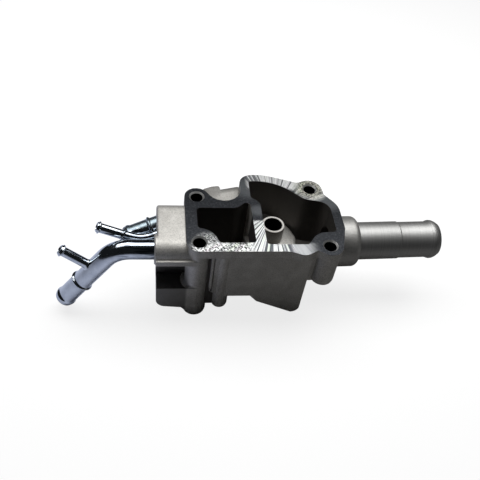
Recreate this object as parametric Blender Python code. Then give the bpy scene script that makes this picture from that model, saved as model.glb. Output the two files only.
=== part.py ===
"""Coolant housing for a wax valve: a two-chamber aluminium casting with a hose spigot and three pressed-in steel pipes.

The gasket face lies in the plane Z = 0 and looks up. The origin is the middle of the partition's machined top.
X runs along the spigot, Y runs across the flange to its rear edge, and every size is in metres.
"""

import math

import bmesh
import bpy
from mathutils import Matrix, Vector

MM = 0.001
ARC_STEPS = 8
ROUND_STEPS = 40
SMALL_ROUND_STEPS = 28
PIPE_STEPS = 30
NIPPLE_STEPS = 20
PRESS_GAP = 0.3 * MM
SHARPEST_CORNER = 0.3 * MM
CUT_OVERSHOOT = 4.0 * MM

# Bolts and the flange round them
BOLT_REAR_LEFT = (-49.5 * MM, 30.0 * MM)
BOLT_FRONT_LEFT = (-50.0 * MM, -22.5 * MM)
BOLT_REAR_RIGHT = (51.0 * MM, 42.0 * MM)
BOLT_FRONT_RIGHT = (56.5 * MM, -26.0 * MM)
BOLT_BORE = 10.5 * MM
BOLT_CHAMFER = 1.3 * MM
BOLT_BOSS_R = 10.5 * MM
FLANGE_THICKNESS = 8.5 * MM
FLANGE_STEP = 1.0 * MM

# Chambers, walls and floors
PARTITION = 8.4 * MM
LEFT_CHAMBER_LENGTH = 46.4 * MM
LEFT_CHAMBER_REAR_Y = 16.4 * MM
RIGHT_CHAMBER_LENGTH = 61.0 * MM
LEFT_WALL = 8.5 * MM
RIGHT_WALL = 6.8 * MM
FRONT_Y = -32.6 * MM
CHAMBER_DEPTH = 50.0 * MM
FLOOR = 7.0 * MM
BOSS_RELIEF_R = 15.0 * MM
DRAFT = 0.8 * MM
FLOOR_FILLET = 3.0 * MM

# Round pad and ring boss in the right chamber
RING_XY = (18.0 * MM, 17.5 * MM)
RING_RIM_DEPTH = 20.0 * MM
RING_OD = 19.9 * MM
RING_BORE = 15.6 * MM
RING_EDGE = 0.25 * MM
RING_BORE_DEPTH = 58.0 * MM
PAD_R = 24.0 * MM
PAD_DEPTH = 38.0 * MM
PAD_CROWN = 2.5 * MM
PAD_EDGE = 2.5 * MM
WINDOW_TOP_DEPTH = 24.5 * MM

# Outlet spigot and its collar
SPIGOT_YZ = (6.7 * MM, -30.4 * MM)
SPIGOT_RISE = math.radians(2.6)
COLLAR_OD = 44.6 * MM
COLLAR_END_X = 86.5 * MM
SPIGOT_START_X = 92.2 * MM
SPIGOT_OD = 33.4 * MM
SPIGOT_STEP_X = 129.3 * MM
SPIGOT_STEP = 0.6 * MM
SPIGOT_END_X = 166.5 * MM
SPIGOT_BEAD = 1.2 * MM
SPIGOT_BORE = 27.0 * MM

# Pipe block at the left end
PIPE_OD = 16.3 * MM
PIPE_WALL = 1.5 * MM
PIPE_BEAD = 1.5 * MM
PIPE_SEAT = 14.0 * MM
PIPE_AXIS_Z = -14.0 * MM
FRONT_PIPE_Y = -18.1 * MM
REAR_PIPE_YZ = (10.8 * MM, -16.3 * MM)
BLOCK_REAR_Y = 15.0 * MM
BLOCK_END_X = -83.4 * MM
PIPE_BOSS_R = 12.7 * MM
PIPE_BOSS_PROUD = 2.0 * MM
GALLERY_BORE = 11.0 * MM
CHAMBER_WAY_Y = 4.5 * MM

# Foot under the pipe block, with its open pocket
FOOT_PROUD = 0.1 * MM
FOOT_DEPTH = 70.0 * MM
FOOT_CORNER_R = 8.5 * MM
FOOT_SLOPE = 3.0 * MM
FOOT_LOBE_SHIFT = 4.0 * MM
FOOT_LOBE_DEPTH = 78.5 * MM
POCKET_FILLET = 3.4 * MM
POCKET_TOP_DEPTH = 18.0 * MM
POCKET_FLOOR_DEPTH = 46.0 * MM
POCKET_BACK_Y = -15.0 * MM
FOOT_WALL = 8.0 * MM

# Columns on the front wall
COLUMN_EDGE = 3.0 * MM
LEFT_COLUMN_R = 10.1 * MM
LEFT_COLUMN_DEPTH = 84.5 * MM
SECOND_COLUMN_X = -28.8 * MM
SECOND_COLUMN_R = 7.0 * MM
SECOND_COLUMN_DEPTH = 74.4 * MM
SECOND_COLUMN_EDGE = 3.5 * MM
COLUMN_WEB_DEPTH = 71.8 * MM
GROOVE_RIB_X = -38.6 * MM
GROOVE_RIB = 2.0 * MM
GROOVE_RIB_DEPTH = 48.0 * MM
RIGHT_COLUMN_DEPTH = 41.0 * MM
RIGHT_COLUMN_EDGE = 4.0 * MM
RIGHT_WEB_DEPTH = 40.2 * MM
REAR_COLUMN_DEPTH = 44.0 * MM

# Sump under the right chamber
SUMP_LEFT_X = 3.0 * MM
SUMP_RIGHT_X = 42.8 * MM
SUMP_REAR_Y = -4.0 * MM
SUMP_LEFT_DEPTH = 65.2 * MM
SUMP_RIGHT_DEPTH = 81.0 * MM
SUMP_CORNER_R = 7.0 * MM
SUMP_WALL = 6.0 * MM
SUMP_RUN_IN = 7.0 * MM
RELIEF_DEPTH = 35.5 * MM
RELIEF_REACH = 7.5 * MM

# Cast lugs behind the left chamber
LUG_TOP_DEPTH = 9.5 * MM
LUG_DEPTH = 34.0 * MM
LUG_REAR_Y = 54.7 * MM
LUG_LENGTH = 15.9 * MM
SADDLE_R = 11.0 * MM
SADDLE_YZ = (44.0 * MM, -20.0 * MM)
SADDLE_YAW = math.radians(15.0)
SADDLE_LENGTH = 20.0 * MM

# Steel pipes
FRONT_BEND_X = -104.3 * MM
FRONT_BEND_R = 24.0 * MM
FRONT_BEND_ANGLE = math.radians(54.4)
FRONT_STOP_BEAD = 35.0 * MM
FRONT_TAIL = 63.5 * MM
REAR_PIPE_TILT = math.radians(17.0)
REAR_PIPE_YAW = math.radians(12.7)
REAR_STOP_BEAD = 4.6 * MM
REAR_TAIL = 27.0 * MM
TAIL_BEAD_INSET = 4.5 * MM
NIPPLE_OD = 8.0 * MM
NIPPLE_WALL = 1.0 * MM
NIPPLE_BEAD = 1.0 * MM
FRONT_NIPPLE_AT = 15.8 * MM
FRONT_NIPPLE_LENGTH = 33.0 * MM
FRONT_NIPPLE_AIM = (-0.81, 0.10, 0.58)
VENT_PIPE_YZ = (-3.6 * MM, -12.4 * MM)
VENT_SEAT = 12.0 * MM
VENT_SEAT_AIM = (-0.93, -0.13, -0.34)
VENT_KNEE = (-108.6 * MM, -4.6 * MM, -12.0 * MM)
VENT_TAIL_AIM = (-0.94, 0.06, 0.35)
VENT_SAG_REACH = 12.0 * MM
VENT_STOP_BEAD = 2.2 * MM
VENT_TAIL = 24.0 * MM


def clear_scene():
    """Removes every object that the scene starts with."""
    for item in list(bpy.data.objects):
        bpy.data.objects.remove(item, do_unlink=True)


def make_material(name, colour, metallic, roughness):
    """Makes a plain Principled material."""
    material = bpy.data.materials.new(name)
    material.use_nodes = True
    shader = material.node_tree.nodes["Principled BSDF"]
    shader.inputs["Base Color"].default_value = (*colour, 1.0)
    shader.inputs["Metallic"].default_value = metallic
    shader.inputs["Roughness"].default_value = roughness
    return material


def make_object(name, bm, smooth_angle=35.0):
    """Turns a bmesh into a linked object with rounded stretches shaded smooth."""
    bmesh.ops.recalc_face_normals(bm, faces=bm.faces)
    mesh = bpy.data.meshes.new(name)
    bm.to_mesh(mesh)
    bm.free()
    mesh.shade_smooth()
    mesh.set_sharp_from_angle(angle=math.radians(smooth_angle))
    item = bpy.data.objects.new(name, mesh)
    bpy.context.scene.collection.objects.link(item)
    return item


def belt(circles, inset=0.0):
    """Runs a closed line round a ring of circles, anticlockwise.

    A circle with a negative radius is passed on its far side, which makes a hollow corner. An inset moves the
    whole line inwards, and a negative one moves it outwards. No corner gets sharper than a small radius.
    """
    rounds = []
    for x, y, radius in circles:
        least = math.copysign(SHARPEST_CORNER, radius)
        moved = radius - inset
        rounds.append((Vector((x, y)), moved if moved * least > SHARPEST_CORNER ** 2 else least))
    normals = []
    for index, (centre, radius) in enumerate(rounds):
        following, next_radius = rounds[(index + 1) % len(rounds)]
        along = following - centre
        share = max(-1.0, min(1.0, (radius - next_radius) / along.length))
        along.normalize()
        aside = Vector((along.y, -along.x))
        normals.append(along * share + aside * math.sqrt(1.0 - share * share))
    points = []
    for index, (centre, radius) in enumerate(rounds):
        first = math.atan2(normals[index - 1].y, normals[index - 1].x)
        turn = math.atan2(normals[index].y, normals[index].x) - first
        turn = turn % math.tau if radius > 0.0 else -((-turn) % math.tau)
        for step in range(ARC_STEPS + 1):
            angle = first + turn * step / ARC_STEPS
            points.append(centre + radius * Vector((math.cos(angle), math.sin(angle))))
    return points


def loft(name, sections):
    """Skins a stack of level outlines with equal point counts, given as (outline, height) from top to bottom."""
    bm = bmesh.new()
    rings = [[bm.verts.new((point[0], point[1], height)) for point in outline] for outline, height in sections]
    for upper, lower in zip(rings, rings[1:]):
        for index in range(len(upper)):
            after = (index + 1) % len(upper)
            bm.faces.new((upper[index], upper[after], lower[after], lower[index]))
    bm.faces.new(rings[0])
    bm.faces.new(reversed(rings[-1]))
    return make_object(name, bm)


def revolve(name, profile, origin, direction, steps=ROUND_STEPS):
    """Turns a profile of (distance along the axis, radius) pairs into a closed solid."""
    bm = bmesh.new()
    turn = Vector(direction).to_track_quat("Z", "Y").to_matrix().to_4x4()
    place = Matrix.Translation(origin) @ turn
    rings = []
    for along, radius in profile:
        ring = []
        for step in range(steps):
            angle = math.tau * step / steps
            spot = Vector((radius * math.cos(angle), radius * math.sin(angle), along))
            ring.append(bm.verts.new(place @ spot))
        rings.append(ring)
    for lower, upper in zip(rings, rings[1:]):
        for index in range(steps):
            after = (index + 1) % steps
            bm.faces.new((lower[index], lower[after], upper[after], upper[index]))
    bm.faces.new(reversed(rings[0]))
    bm.faces.new(rings[-1])
    return make_object(name, bm)


def prism(name, outline, axis, start, end):
    """Extrudes a flat outline along X, Y or Z.

    The outline's pairs are (Y, Z) for an X prism, (X, Z) for a Y prism and (X, Y) for a Z prism.
    """
    bm = bmesh.new()
    ends = []
    for level in (start, end):
        ring = []
        for first, second in outline:
            spot = [first, second]
            spot.insert(axis, level)
            ring.append(bm.verts.new(spot))
        ends.append(ring)
    for index in range(len(outline)):
        after = (index + 1) % len(outline)
        bm.faces.new((ends[0][index], ends[0][after], ends[1][after], ends[1][index]))
    bm.faces.new(ends[0])
    bm.faces.new(reversed(ends[1]))
    return make_object(name, bm)


def rounded_corner(centre, radius, first_degrees, last_degrees, steps=ARC_STEPS):
    """Gives the points of an arc between two angles."""
    angles = [math.radians(first_degrees + (last_degrees - first_degrees) * k / steps) for k in range(steps + 1)]
    return [(centre[0] + radius * math.cos(a), centre[1] + radius * math.sin(a)) for a in angles]


def column(name, centre, radius, depth, top, edge=COLUMN_EDGE):
    """Makes an upright round column that hangs from the flange, with a rounded lower edge."""
    length = depth - top
    profile = [(0.0, radius)]
    for step in range(4):
        angle = math.radians(30.0 * step)
        profile.append((length - edge + edge * math.sin(angle), radius - edge + edge * math.cos(angle)))
    return revolve(name, profile, (centre[0], centre[1], -top), (0.0, 0.0, -1.0), SMALL_ROUND_STEPS)


def flange_circles():
    """Lists the circles that the flange's outer edge runs round."""
    left, front = BOLT_FRONT_LEFT
    right_x, right_y = BOLT_FRONT_RIGHT
    ear_x, ear_y = BOLT_REAR_RIGHT
    rear_x, rear_y = BOLT_REAR_LEFT
    boss = BOLT_BOSS_R
    return [
        (left, front, boss),
        (right_x - 38.5 * MM, FRONT_Y - 25.0 * MM, -25.0 * MM),
        (right_x - 22.5 * MM, FRONT_Y + 6.2 * MM, 10.0 * MM),
        (right_x - 11.3 * MM, right_y - 8.9 * MM, -3.0 * MM),
        (right_x, right_y, boss + 0.3 * MM),
        (61.0 * MM, -5.0 * MM, 12.0 * MM),
        (53.0 * MM, 14.5 * MM, 20.0 * MM),
        (ear_x + 15.5 * MM, ear_y - 5.5 * MM, -4.0 * MM),
        (ear_x, ear_y, boss + 0.5 * MM),
        (ear_x - 10.5 * MM, ear_y + 13.0 * MM, -5.0 * MM),
        (4.0 * MM, 9.0 * MM, 50.3 * MM),
        (0.5 * MM, 47.5 * MM, 11.5 * MM),
        (rear_x + 23.5 * MM, rear_y + 10.3 * MM, -15.0 * MM),
        (rear_x, rear_y, boss),
    ]


def left_chamber_circles():
    """Lists the circles that the left chamber's mouth runs round."""
    right = -PARTITION / 2
    left = right - LEFT_CHAMBER_LENGTH
    front = FRONT_Y + FLANGE_STEP + LEFT_WALL
    rear = LEFT_CHAMBER_REAR_Y
    boss_x, boss_y = BOLT_FRONT_LEFT
    return [
        (right - 3.0 * MM, front + 3.0 * MM, 3.0 * MM),
        (right - 3.7 * MM, rear + 2.9 * MM, 3.7 * MM),
        (right - 16.8 * MM, rear + 12.0 * MM, -12.0 * MM),
        (left + 3.5 * MM, rear - 3.5 * MM, 3.5 * MM),
        (left + 3.0 * MM, boss_y + BOSS_RELIEF_R + 3.0 * MM, 3.0 * MM),
        (boss_x, boss_y, -BOSS_RELIEF_R),
        (boss_x + BOSS_RELIEF_R + 2.6 * MM, front + 2.0 * MM, 2.0 * MM),
    ]


def right_chamber_circles():
    """Lists the circles that the right chamber's mouth runs round."""
    left = PARTITION / 2
    right = left + RIGHT_CHAMBER_LENGTH
    front = FRONT_Y + FLANGE_STEP + RIGHT_WALL
    boss_x, boss_y = BOLT_FRONT_RIGHT
    ear_x, ear_y = BOLT_REAR_RIGHT
    return [
        (left + 3.0 * MM, front + 3.0 * MM, 3.0 * MM),
        (boss_x - 18.8 * MM, front + 2.0 * MM, 2.0 * MM),
        (boss_x, boss_y, -BOSS_RELIEF_R),
        (right - 3.5 * MM, boss_y + BOSS_RELIEF_R + 3.8 * MM, 3.5 * MM),
        (right - 11.0 * MM, 15.5 * MM, 11.0 * MM),
        (ear_x, ear_y, -(BOSS_RELIEF_R - 0.6 * MM)),
        (4.0 * MM, 9.0 * MM, 42.0 * MM),
        (left - 4.8 * MM, 48.3 * MM, 2.5 * MM),
        (left - 4.8 * MM, 31.0 * MM, 2.5 * MM),
        (left - 8.0 * MM, 20.3 * MM, -8.0 * MM),
    ]


def body_shell(name, circles, wall):
    """Makes the outside of one chamber's walls and floor, with draft and a rounded lower edge."""
    bottom = -(CHAMBER_DEPTH + FLOOR)
    fillet = FLOOR_FILLET
    return loft(name, [
        (belt(circles, -wall), -FLANGE_THICKNESS / 2),
        (belt(circles, -wall + DRAFT), bottom + fillet),
        (belt(circles, -wall + DRAFT + 0.3 * fillet), bottom + 0.3 * fillet),
        (belt(circles, -wall + DRAFT + fillet), bottom),
    ])


def chamber_core(name, circles, depth):
    """Makes the hollow of one chamber, with draft and a filleted floor."""
    fillet = 0.6 * FLOOR_FILLET
    return loft(name, [
        (belt(circles), 1.0 * MM),
        (belt(circles, DRAFT), -depth + fillet),
        (belt(circles, DRAFT + 0.3 * fillet), -depth + 0.3 * fillet),
        (belt(circles, DRAFT + fillet), -depth),
    ])


def pad_circles():
    """Lists the circles round the raised pad that carries the ring boss."""
    return [
        (RING_XY[0], RING_XY[1], PAD_R),
        (12.0 * MM, RING_XY[1] + 31.0 * MM, 12.0 * MM),
        (4.0 * MM, RING_XY[1] + 29.0 * MM, 10.0 * MM),
    ]


def pad_and_ring():
    """Makes the round pad with its crowned top, and the ring boss on it."""
    under = -(CHAMBER_DEPTH + 2.0 * MM)
    edge = PAD_EDGE
    pad = loft("pad", [
        (belt(pad_circles(), edge), -PAD_DEPTH),
        (belt(pad_circles(), 0.3 * edge), -PAD_DEPTH - 0.3 * edge),
        (belt(pad_circles()), -PAD_DEPTH - edge),
        (belt(pad_circles(), -1.0 * MM), under),
    ])
    crown_base = PAD_R - edge
    crown = revolve("pad_crown", [
        (-3.0 * MM, crown_base),
        (0.0, crown_base),
        (0.55 * PAD_CROWN, 0.75 * crown_base),
        (0.9 * PAD_CROWN, 0.5 * crown_base),
        (PAD_CROWN, 0.2 * crown_base),
    ], (*RING_XY, -PAD_DEPTH), (0.0, 0.0, 1.0))
    height = PAD_DEPTH - RING_RIM_DEPTH
    ring = revolve("ring_boss", [
        (-2.0 * MM, RING_OD / 2),
        (height - RING_EDGE, RING_OD / 2),
        (height, RING_OD / 2 - RING_EDGE),
    ], (*RING_XY, -PAD_DEPTH), (0.0, 0.0, 1.0))
    return [pad, crown, ring]


def spigot_direction():
    """Gives the unit vector along the spigot."""
    return Vector((math.cos(SPIGOT_RISE), 0.0, math.sin(SPIGOT_RISE)))


def spigot_origin():
    """Gives the point on the spigot's axis where the collar leaves the chamber wall."""
    return Vector((PARTITION / 2 + RIGHT_CHAMBER_LENGTH + 0.5 * RIGHT_WALL, *SPIGOT_YZ))


def spigot_solid():
    """Makes the collar, its rounded shoulder, the stepped spigot and the end bead as one turned form."""
    base = spigot_origin().x
    collar = COLLAR_OD / 2
    outer = SPIGOT_OD / 2
    tip = outer - SPIGOT_STEP
    drop = collar - outer
    shoulder = SPIGOT_START_X - COLLAR_END_X
    profile = [(-1.0 * MM, collar), (COLLAR_END_X - base, collar)]
    for step in range(1, 6):
        angle = 0.5 * math.pi * step / 6
        profile.append((COLLAR_END_X - base + shoulder * math.sin(angle), collar - drop * (1.0 - math.cos(angle))))
    profile += [
        (SPIGOT_START_X - base, outer),
        (SPIGOT_STEP_X - base, outer),
        (SPIGOT_STEP_X + SPIGOT_STEP - base, tip),
        (SPIGOT_END_X - 10.0 * MM - base, tip),
        (SPIGOT_END_X - 8.6 * MM - base, tip + 0.7 * SPIGOT_BEAD),
        (SPIGOT_END_X - 7.0 * MM - base, tip + SPIGOT_BEAD),
        (SPIGOT_END_X - 5.0 * MM - base, tip + 0.8 * SPIGOT_BEAD),
        (SPIGOT_END_X - 2.6 * MM - base, tip),
        (SPIGOT_END_X - 0.9 * MM - base, tip - 1.2 * MM),
        (SPIGOT_END_X - base, tip - 1.8 * MM),
    ]
    return revolve("spigot", profile, spigot_origin(), spigot_direction())


def spigot_bore():
    """Makes the bore through the spigot into the right chamber."""
    length = SPIGOT_END_X - spigot_origin().x
    radius = SPIGOT_BORE / 2
    return revolve("spigot_bore", [
        (-2.5 * RIGHT_WALL, radius),
        (length - 1.0 * MM, radius),
        (length + 1.0 * MM, radius + 1.5 * MM),
    ], spigot_origin(), spigot_direction())


def pipe_block():
    """Makes the pipe block: a slab whose front and rear sides are round about the two big pipes."""
    inner_x = BOLT_FRONT_LEFT[0]
    outline = rounded_corner((FRONT_PIPE_Y, PIPE_AXIS_Z), PIPE_BOSS_R, 270.0, 90.0, 2 * ARC_STEPS)
    outline += rounded_corner((BLOCK_REAR_Y, PIPE_AXIS_Z), PIPE_BOSS_R, 90.0, -90.0, 2 * ARC_STEPS)
    slab = prism("pipe_block", outline, 0, BLOCK_END_X, inner_x)
    bevel = slab.modifiers.new("end_edges", "BEVEL")
    bevel.width = 2.2 * MM
    bevel.segments = 3
    bevel.limit_method = "ANGLE"
    bevel.angle_limit = math.radians(50.0)
    boss_end = BLOCK_END_X - PIPE_BOSS_PROUD
    boss_r = PIPE_BOSS_R - 0.15 * MM
    boss = revolve("pipe_boss", [
        (0.0, boss_r - 1.0 * MM),
        (1.0 * MM, boss_r),
        (10.0 * MM, boss_r),
    ], (boss_end, FRONT_PIPE_Y, PIPE_AXIS_Z), (1.0, 0.0, 0.0))
    return [slab, boss]


def foot_front_y():
    """Gives the Y of the foot's flat front, just proud of the left column."""
    return BOLT_FRONT_LEFT[1] - LEFT_COLUMN_R - FOOT_PROUD


def foot():
    """Makes the lip, the back wall and the lower block round the open pocket under the pipe block."""
    column_x, column_y = BOLT_FRONT_LEFT
    inner_x = column_x + 0.6 * MM
    wall_x = column_x + 4.0 * MM
    front_y = foot_front_y()
    end = BLOCK_END_X
    corner = FOOT_CORNER_R
    back = POCKET_BACK_Y + FOOT_WALL
    lip_top = PIPE_AXIS_Z + 1.0 * MM
    lip = prism("foot_lip", [
        (end - 0.6 * MM, -POCKET_TOP_DEPTH),
        (inner_x, -POCKET_TOP_DEPTH),
        (inner_x, lip_top),
        (end - 0.6 * MM, lip_top),
    ], 1, front_y, FRONT_PIPE_Y + 2.0 * MM)
    wall = prism("foot_wall", [
        (end - 0.3 * MM, -FOOT_DEPTH + 20.0 * MM),
        (wall_x, -FOOT_DEPTH + 20.0 * MM),
        (wall_x, PIPE_AXIS_Z - 2.0 * MM),
        (end - 0.3 * MM, PIPE_AXIS_Z - 2.0 * MM),
    ], 1, POCKET_BACK_Y, back)
    block_outline = [(inner_x, -POCKET_FLOOR_DEPTH), (end, -POCKET_FLOOR_DEPTH)]
    block_outline += rounded_corner((end + corner, -FOOT_DEPTH + corner), corner, 180.0, 270.0)
    block_outline += [(inner_x, -FOOT_DEPTH - FOOT_SLOPE)]
    block = prism("foot_block", block_outline, 1, front_y, back + 1.0 * MM)
    lobe = column("foot_lobe", (column_x - FOOT_LOBE_SHIFT, column_y), LEFT_COLUMN_R, FOOT_LOBE_DEPTH,
                  0.5 * (POCKET_FLOOR_DEPTH + FOOT_DEPTH))
    return [lip, wall, block, lobe, pocket_fillet()]


def pocket_fillet():
    """Makes the hollow fillet round the left column's foot, cut off level with the pocket's open front."""
    x, y = BOLT_FRONT_LEFT
    profile = [(0.0, LEFT_COLUMN_R - 0.1 * MM)]
    for step in range(1, 6):
        angle = 0.5 * math.pi * (1.0 - step / 5)
        profile.append((POCKET_FILLET * math.cos(angle), LEFT_COLUMN_R + POCKET_FILLET * (1.0 - math.sin(angle))))
    profile.append((POCKET_FILLET + 1.0 * MM, LEFT_COLUMN_R + POCKET_FILLET))
    top = -(POCKET_FLOOR_DEPTH - POCKET_FILLET)
    fillet = revolve("pocket_fillet", profile, (x, y, top), (0.0, 0.0, -1.0), SMALL_ROUND_STEPS)
    reach = LEFT_COLUMN_R + 2.0 * POCKET_FILLET
    keep = prism("pocket_fillet_reach", [
        (x - reach, top - reach),
        (x, top - reach),
        (x, top + reach),
        (x - reach, top + reach),
    ], 1, foot_front_y() + 0.4 * MM, y + reach)
    add_boolean(fillet, as_tools([keep], "pocket_fillet_limits"), "INTERSECT")
    return fillet


def front_columns():
    """Makes the two long columns on the front wall, the web between them and the thin rib in their groove."""
    second_y = FRONT_Y + SECOND_COLUMN_R
    web_back = second_y + 6.0 * MM
    rib_y = FRONT_Y + 1.0 * MM
    left_x = BOLT_FRONT_LEFT[0]
    parts = [
        column("left_column", BOLT_FRONT_LEFT, LEFT_COLUMN_R, LEFT_COLUMN_DEPTH, 0.5 * FLANGE_THICKNESS),
        column("second_column", (SECOND_COLUMN_X, second_y), SECOND_COLUMN_R, SECOND_COLUMN_DEPTH,
               0.5 * FLANGE_THICKNESS, SECOND_COLUMN_EDGE),
        prism("column_web", [
            (left_x + 2.0 * MM, -COLUMN_WEB_DEPTH),
            (SECOND_COLUMN_X, -COLUMN_WEB_DEPTH),
            (SECOND_COLUMN_X, -0.6 * FLANGE_THICKNESS),
            (left_x + 2.0 * MM, -0.6 * FLANGE_THICKNESS),
        ], 1, second_y - 2.6 * MM, web_back),
        prism("groove_rib", [
            (GROOVE_RIB_X - GROOVE_RIB / 2, -GROOVE_RIB_DEPTH),
            (GROOVE_RIB_X + GROOVE_RIB / 2, -GROOVE_RIB_DEPTH),
            (GROOVE_RIB_X + GROOVE_RIB / 2, -0.7 * FLANGE_THICKNESS),
            (GROOVE_RIB_X - GROOVE_RIB / 2, -0.7 * FLANGE_THICKNESS),
        ], 1, rib_y, web_back - 1.0 * MM),
    ]
    return parts


def short_columns():
    """Makes the bolt columns that stop halfway down the body."""
    top = 0.4 * FLANGE_THICKNESS
    return [
        column("right_column", BOLT_FRONT_RIGHT, BOLT_BOSS_R - 0.3 * MM, RIGHT_COLUMN_DEPTH, top, RIGHT_COLUMN_EDGE),
        column("ear_column", BOLT_REAR_RIGHT, BOLT_BOSS_R - 0.3 * MM, RIGHT_COLUMN_DEPTH, top),
        column("rear_column", BOLT_REAR_LEFT, BOLT_BOSS_R - 0.4 * MM, REAR_COLUMN_DEPTH, top),
    ]


def column_web():
    """Makes the thick web that ties the short front column to the right chamber's wall."""
    x, y = BOLT_FRONT_RIGHT
    return prism("right_column_web", [
        (x - 14.0 * MM, -RIGHT_WEB_DEPTH),
        (x + 8.0 * MM, -RIGHT_WEB_DEPTH),
        (x + 8.0 * MM, -0.7 * FLANGE_THICKNESS),
        (x - 14.0 * MM, -0.7 * FLANGE_THICKNESS),
    ], 1, y - 3.0 * MM, y + 12.0 * MM)


def sump_outline(shrink):
    """Gives the sump's sloped outline in X and Z, shrunk by a wall on its sides and floor."""
    left = SUMP_LEFT_X + shrink
    right = SUMP_RIGHT_X - shrink
    slope = (SUMP_RIGHT_DEPTH - SUMP_LEFT_DEPTH) / (SUMP_RIGHT_X - SUMP_CORNER_R - SUMP_LEFT_X)
    lift = shrink * math.sqrt(1.0 + slope * slope)
    corner = max(SUMP_CORNER_R - 0.7 * shrink, 1.5 * MM)
    low = -SUMP_RIGHT_DEPTH + lift
    outline = [(left, -SUMP_LEFT_DEPTH + lift - slope * shrink)]
    outline += [(right - corner, low)]
    outline += rounded_corner((right - corner, low + corner), corner, 290.0, 360.0)
    return outline


def sump():
    """Makes the flat front wall and the sump under the right chamber, whose floor slopes down to the right."""
    left = SUMP_LEFT_X - SUMP_RUN_IN
    shoulder = -(CHAMBER_DEPTH + FLOOR)
    face = FRONT_Y + FLANGE_STEP
    body = prism("sump", sump_outline(0.0) + [
        (SUMP_RIGHT_X, -0.55 * FLANGE_THICKNESS),
        (left, -0.55 * FLANGE_THICKNESS),
        (left, shoulder),
    ], 1, face - 0.2 * MM, SUMP_REAR_Y)
    wall = prism("front_wall", [
        (SUMP_RIGHT_X - 2.0 * MM, shoulder + 1.0 * MM),
        (SUMP_RIGHT_X - 2.0 * MM, -0.5 * FLANGE_THICKNESS),
        (SECOND_COLUMN_X, -0.5 * FLANGE_THICKNESS),
        (SECOND_COLUMN_X, shoulder - 0.5 * MM),
        (left + 2.0 * MM, shoulder - 0.5 * MM),
    ], 1, face - 0.2 * MM, face + 0.7 * RIGHT_WALL)
    return [body, wall]


def sump_core():
    """Makes the hollow of the sump, open to the chamber above it."""
    top = -(CHAMBER_DEPTH - 1.0 * MM)
    outline = sump_outline(SUMP_WALL)
    outline += [(SUMP_RIGHT_X - SUMP_WALL, top), (SUMP_LEFT_X + SUMP_WALL, top)]
    front = FRONT_Y + FLANGE_STEP + RIGHT_WALL + 2.0 * DRAFT
    return prism("sump_core", outline, 1, front, SUMP_REAR_Y - SUMP_WALL)


def rear_lugs():
    """Makes the cast lug and the round saddle that show behind the flange's rear hollow."""
    left = BOLT_REAR_LEFT[0] + 7.2 * MM
    right = left + LUG_LENGTH
    inside = LEFT_CHAMBER_REAR_Y + 4.0 * MM
    lug = prism("rear_lug", [
        (left, inside),
        (right, inside),
        (right, LUG_REAR_Y - 5.6 * MM),
        (right - 1.1 * MM, LUG_REAR_Y - 0.4 * MM),
        (right - 3.1 * MM, LUG_REAR_Y),
        (left + 8.0 * MM, LUG_REAR_Y - 0.8 * MM),
        (left, LUG_REAR_Y - 4.2 * MM),
    ], 2, -LUG_DEPTH, -LUG_TOP_DEPTH)
    bevel = lug.modifiers.new("edges", "BEVEL")
    bevel.width = 0.9 * MM
    bevel.segments = 2
    bevel.limit_method = "ANGLE"
    start = Vector((right - 2.0 * MM, *SADDLE_YZ))
    along = Vector((math.cos(SADDLE_YAW), math.sin(SADDLE_YAW), 0.0))
    near = start + along * 1.0 * MM
    far = start + along * (SADDLE_LENGTH - 2.0 * MM)
    saddle = revolve("rear_saddle", [(0.0, SADDLE_R), (SADDLE_LENGTH, SADDLE_R)], start, along)
    saddle_fill = prism("rear_saddle_fill", [
        (near.x, inside),
        (far.x, inside),
        (far.x, far.y),
        (near.x, near.y),
    ], 2, SADDLE_YZ[1] - 0.9 * SADDLE_R, SADDLE_YZ[1] + 0.97 * SADDLE_R)
    return [lug, saddle, saddle_fill]


def bolt_bores():
    """Makes the four bolt holes with their chamfered mouths."""
    depths = {
        "front_left": (BOLT_FRONT_LEFT, LEFT_COLUMN_DEPTH),
        "rear_left": (BOLT_REAR_LEFT, REAR_COLUMN_DEPTH),
        "front_right": (BOLT_FRONT_RIGHT, RIGHT_COLUMN_DEPTH),
        "rear_right": (BOLT_REAR_RIGHT, RIGHT_COLUMN_DEPTH),
    }
    radius = BOLT_BORE / 2
    cutters = []
    for name, (centre, depth) in depths.items():
        cutters.append(revolve("bolt_bore_" + name, [
            (-1.0 * MM, radius + BOLT_CHAMFER + 1.0 * MM),
            (BOLT_CHAMFER, radius),
            (depth + 1.0 * MM, radius),
        ], (*centre, 0.0), (0.0, 0.0, -1.0), SMALL_ROUND_STEPS))
    return cutters


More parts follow.
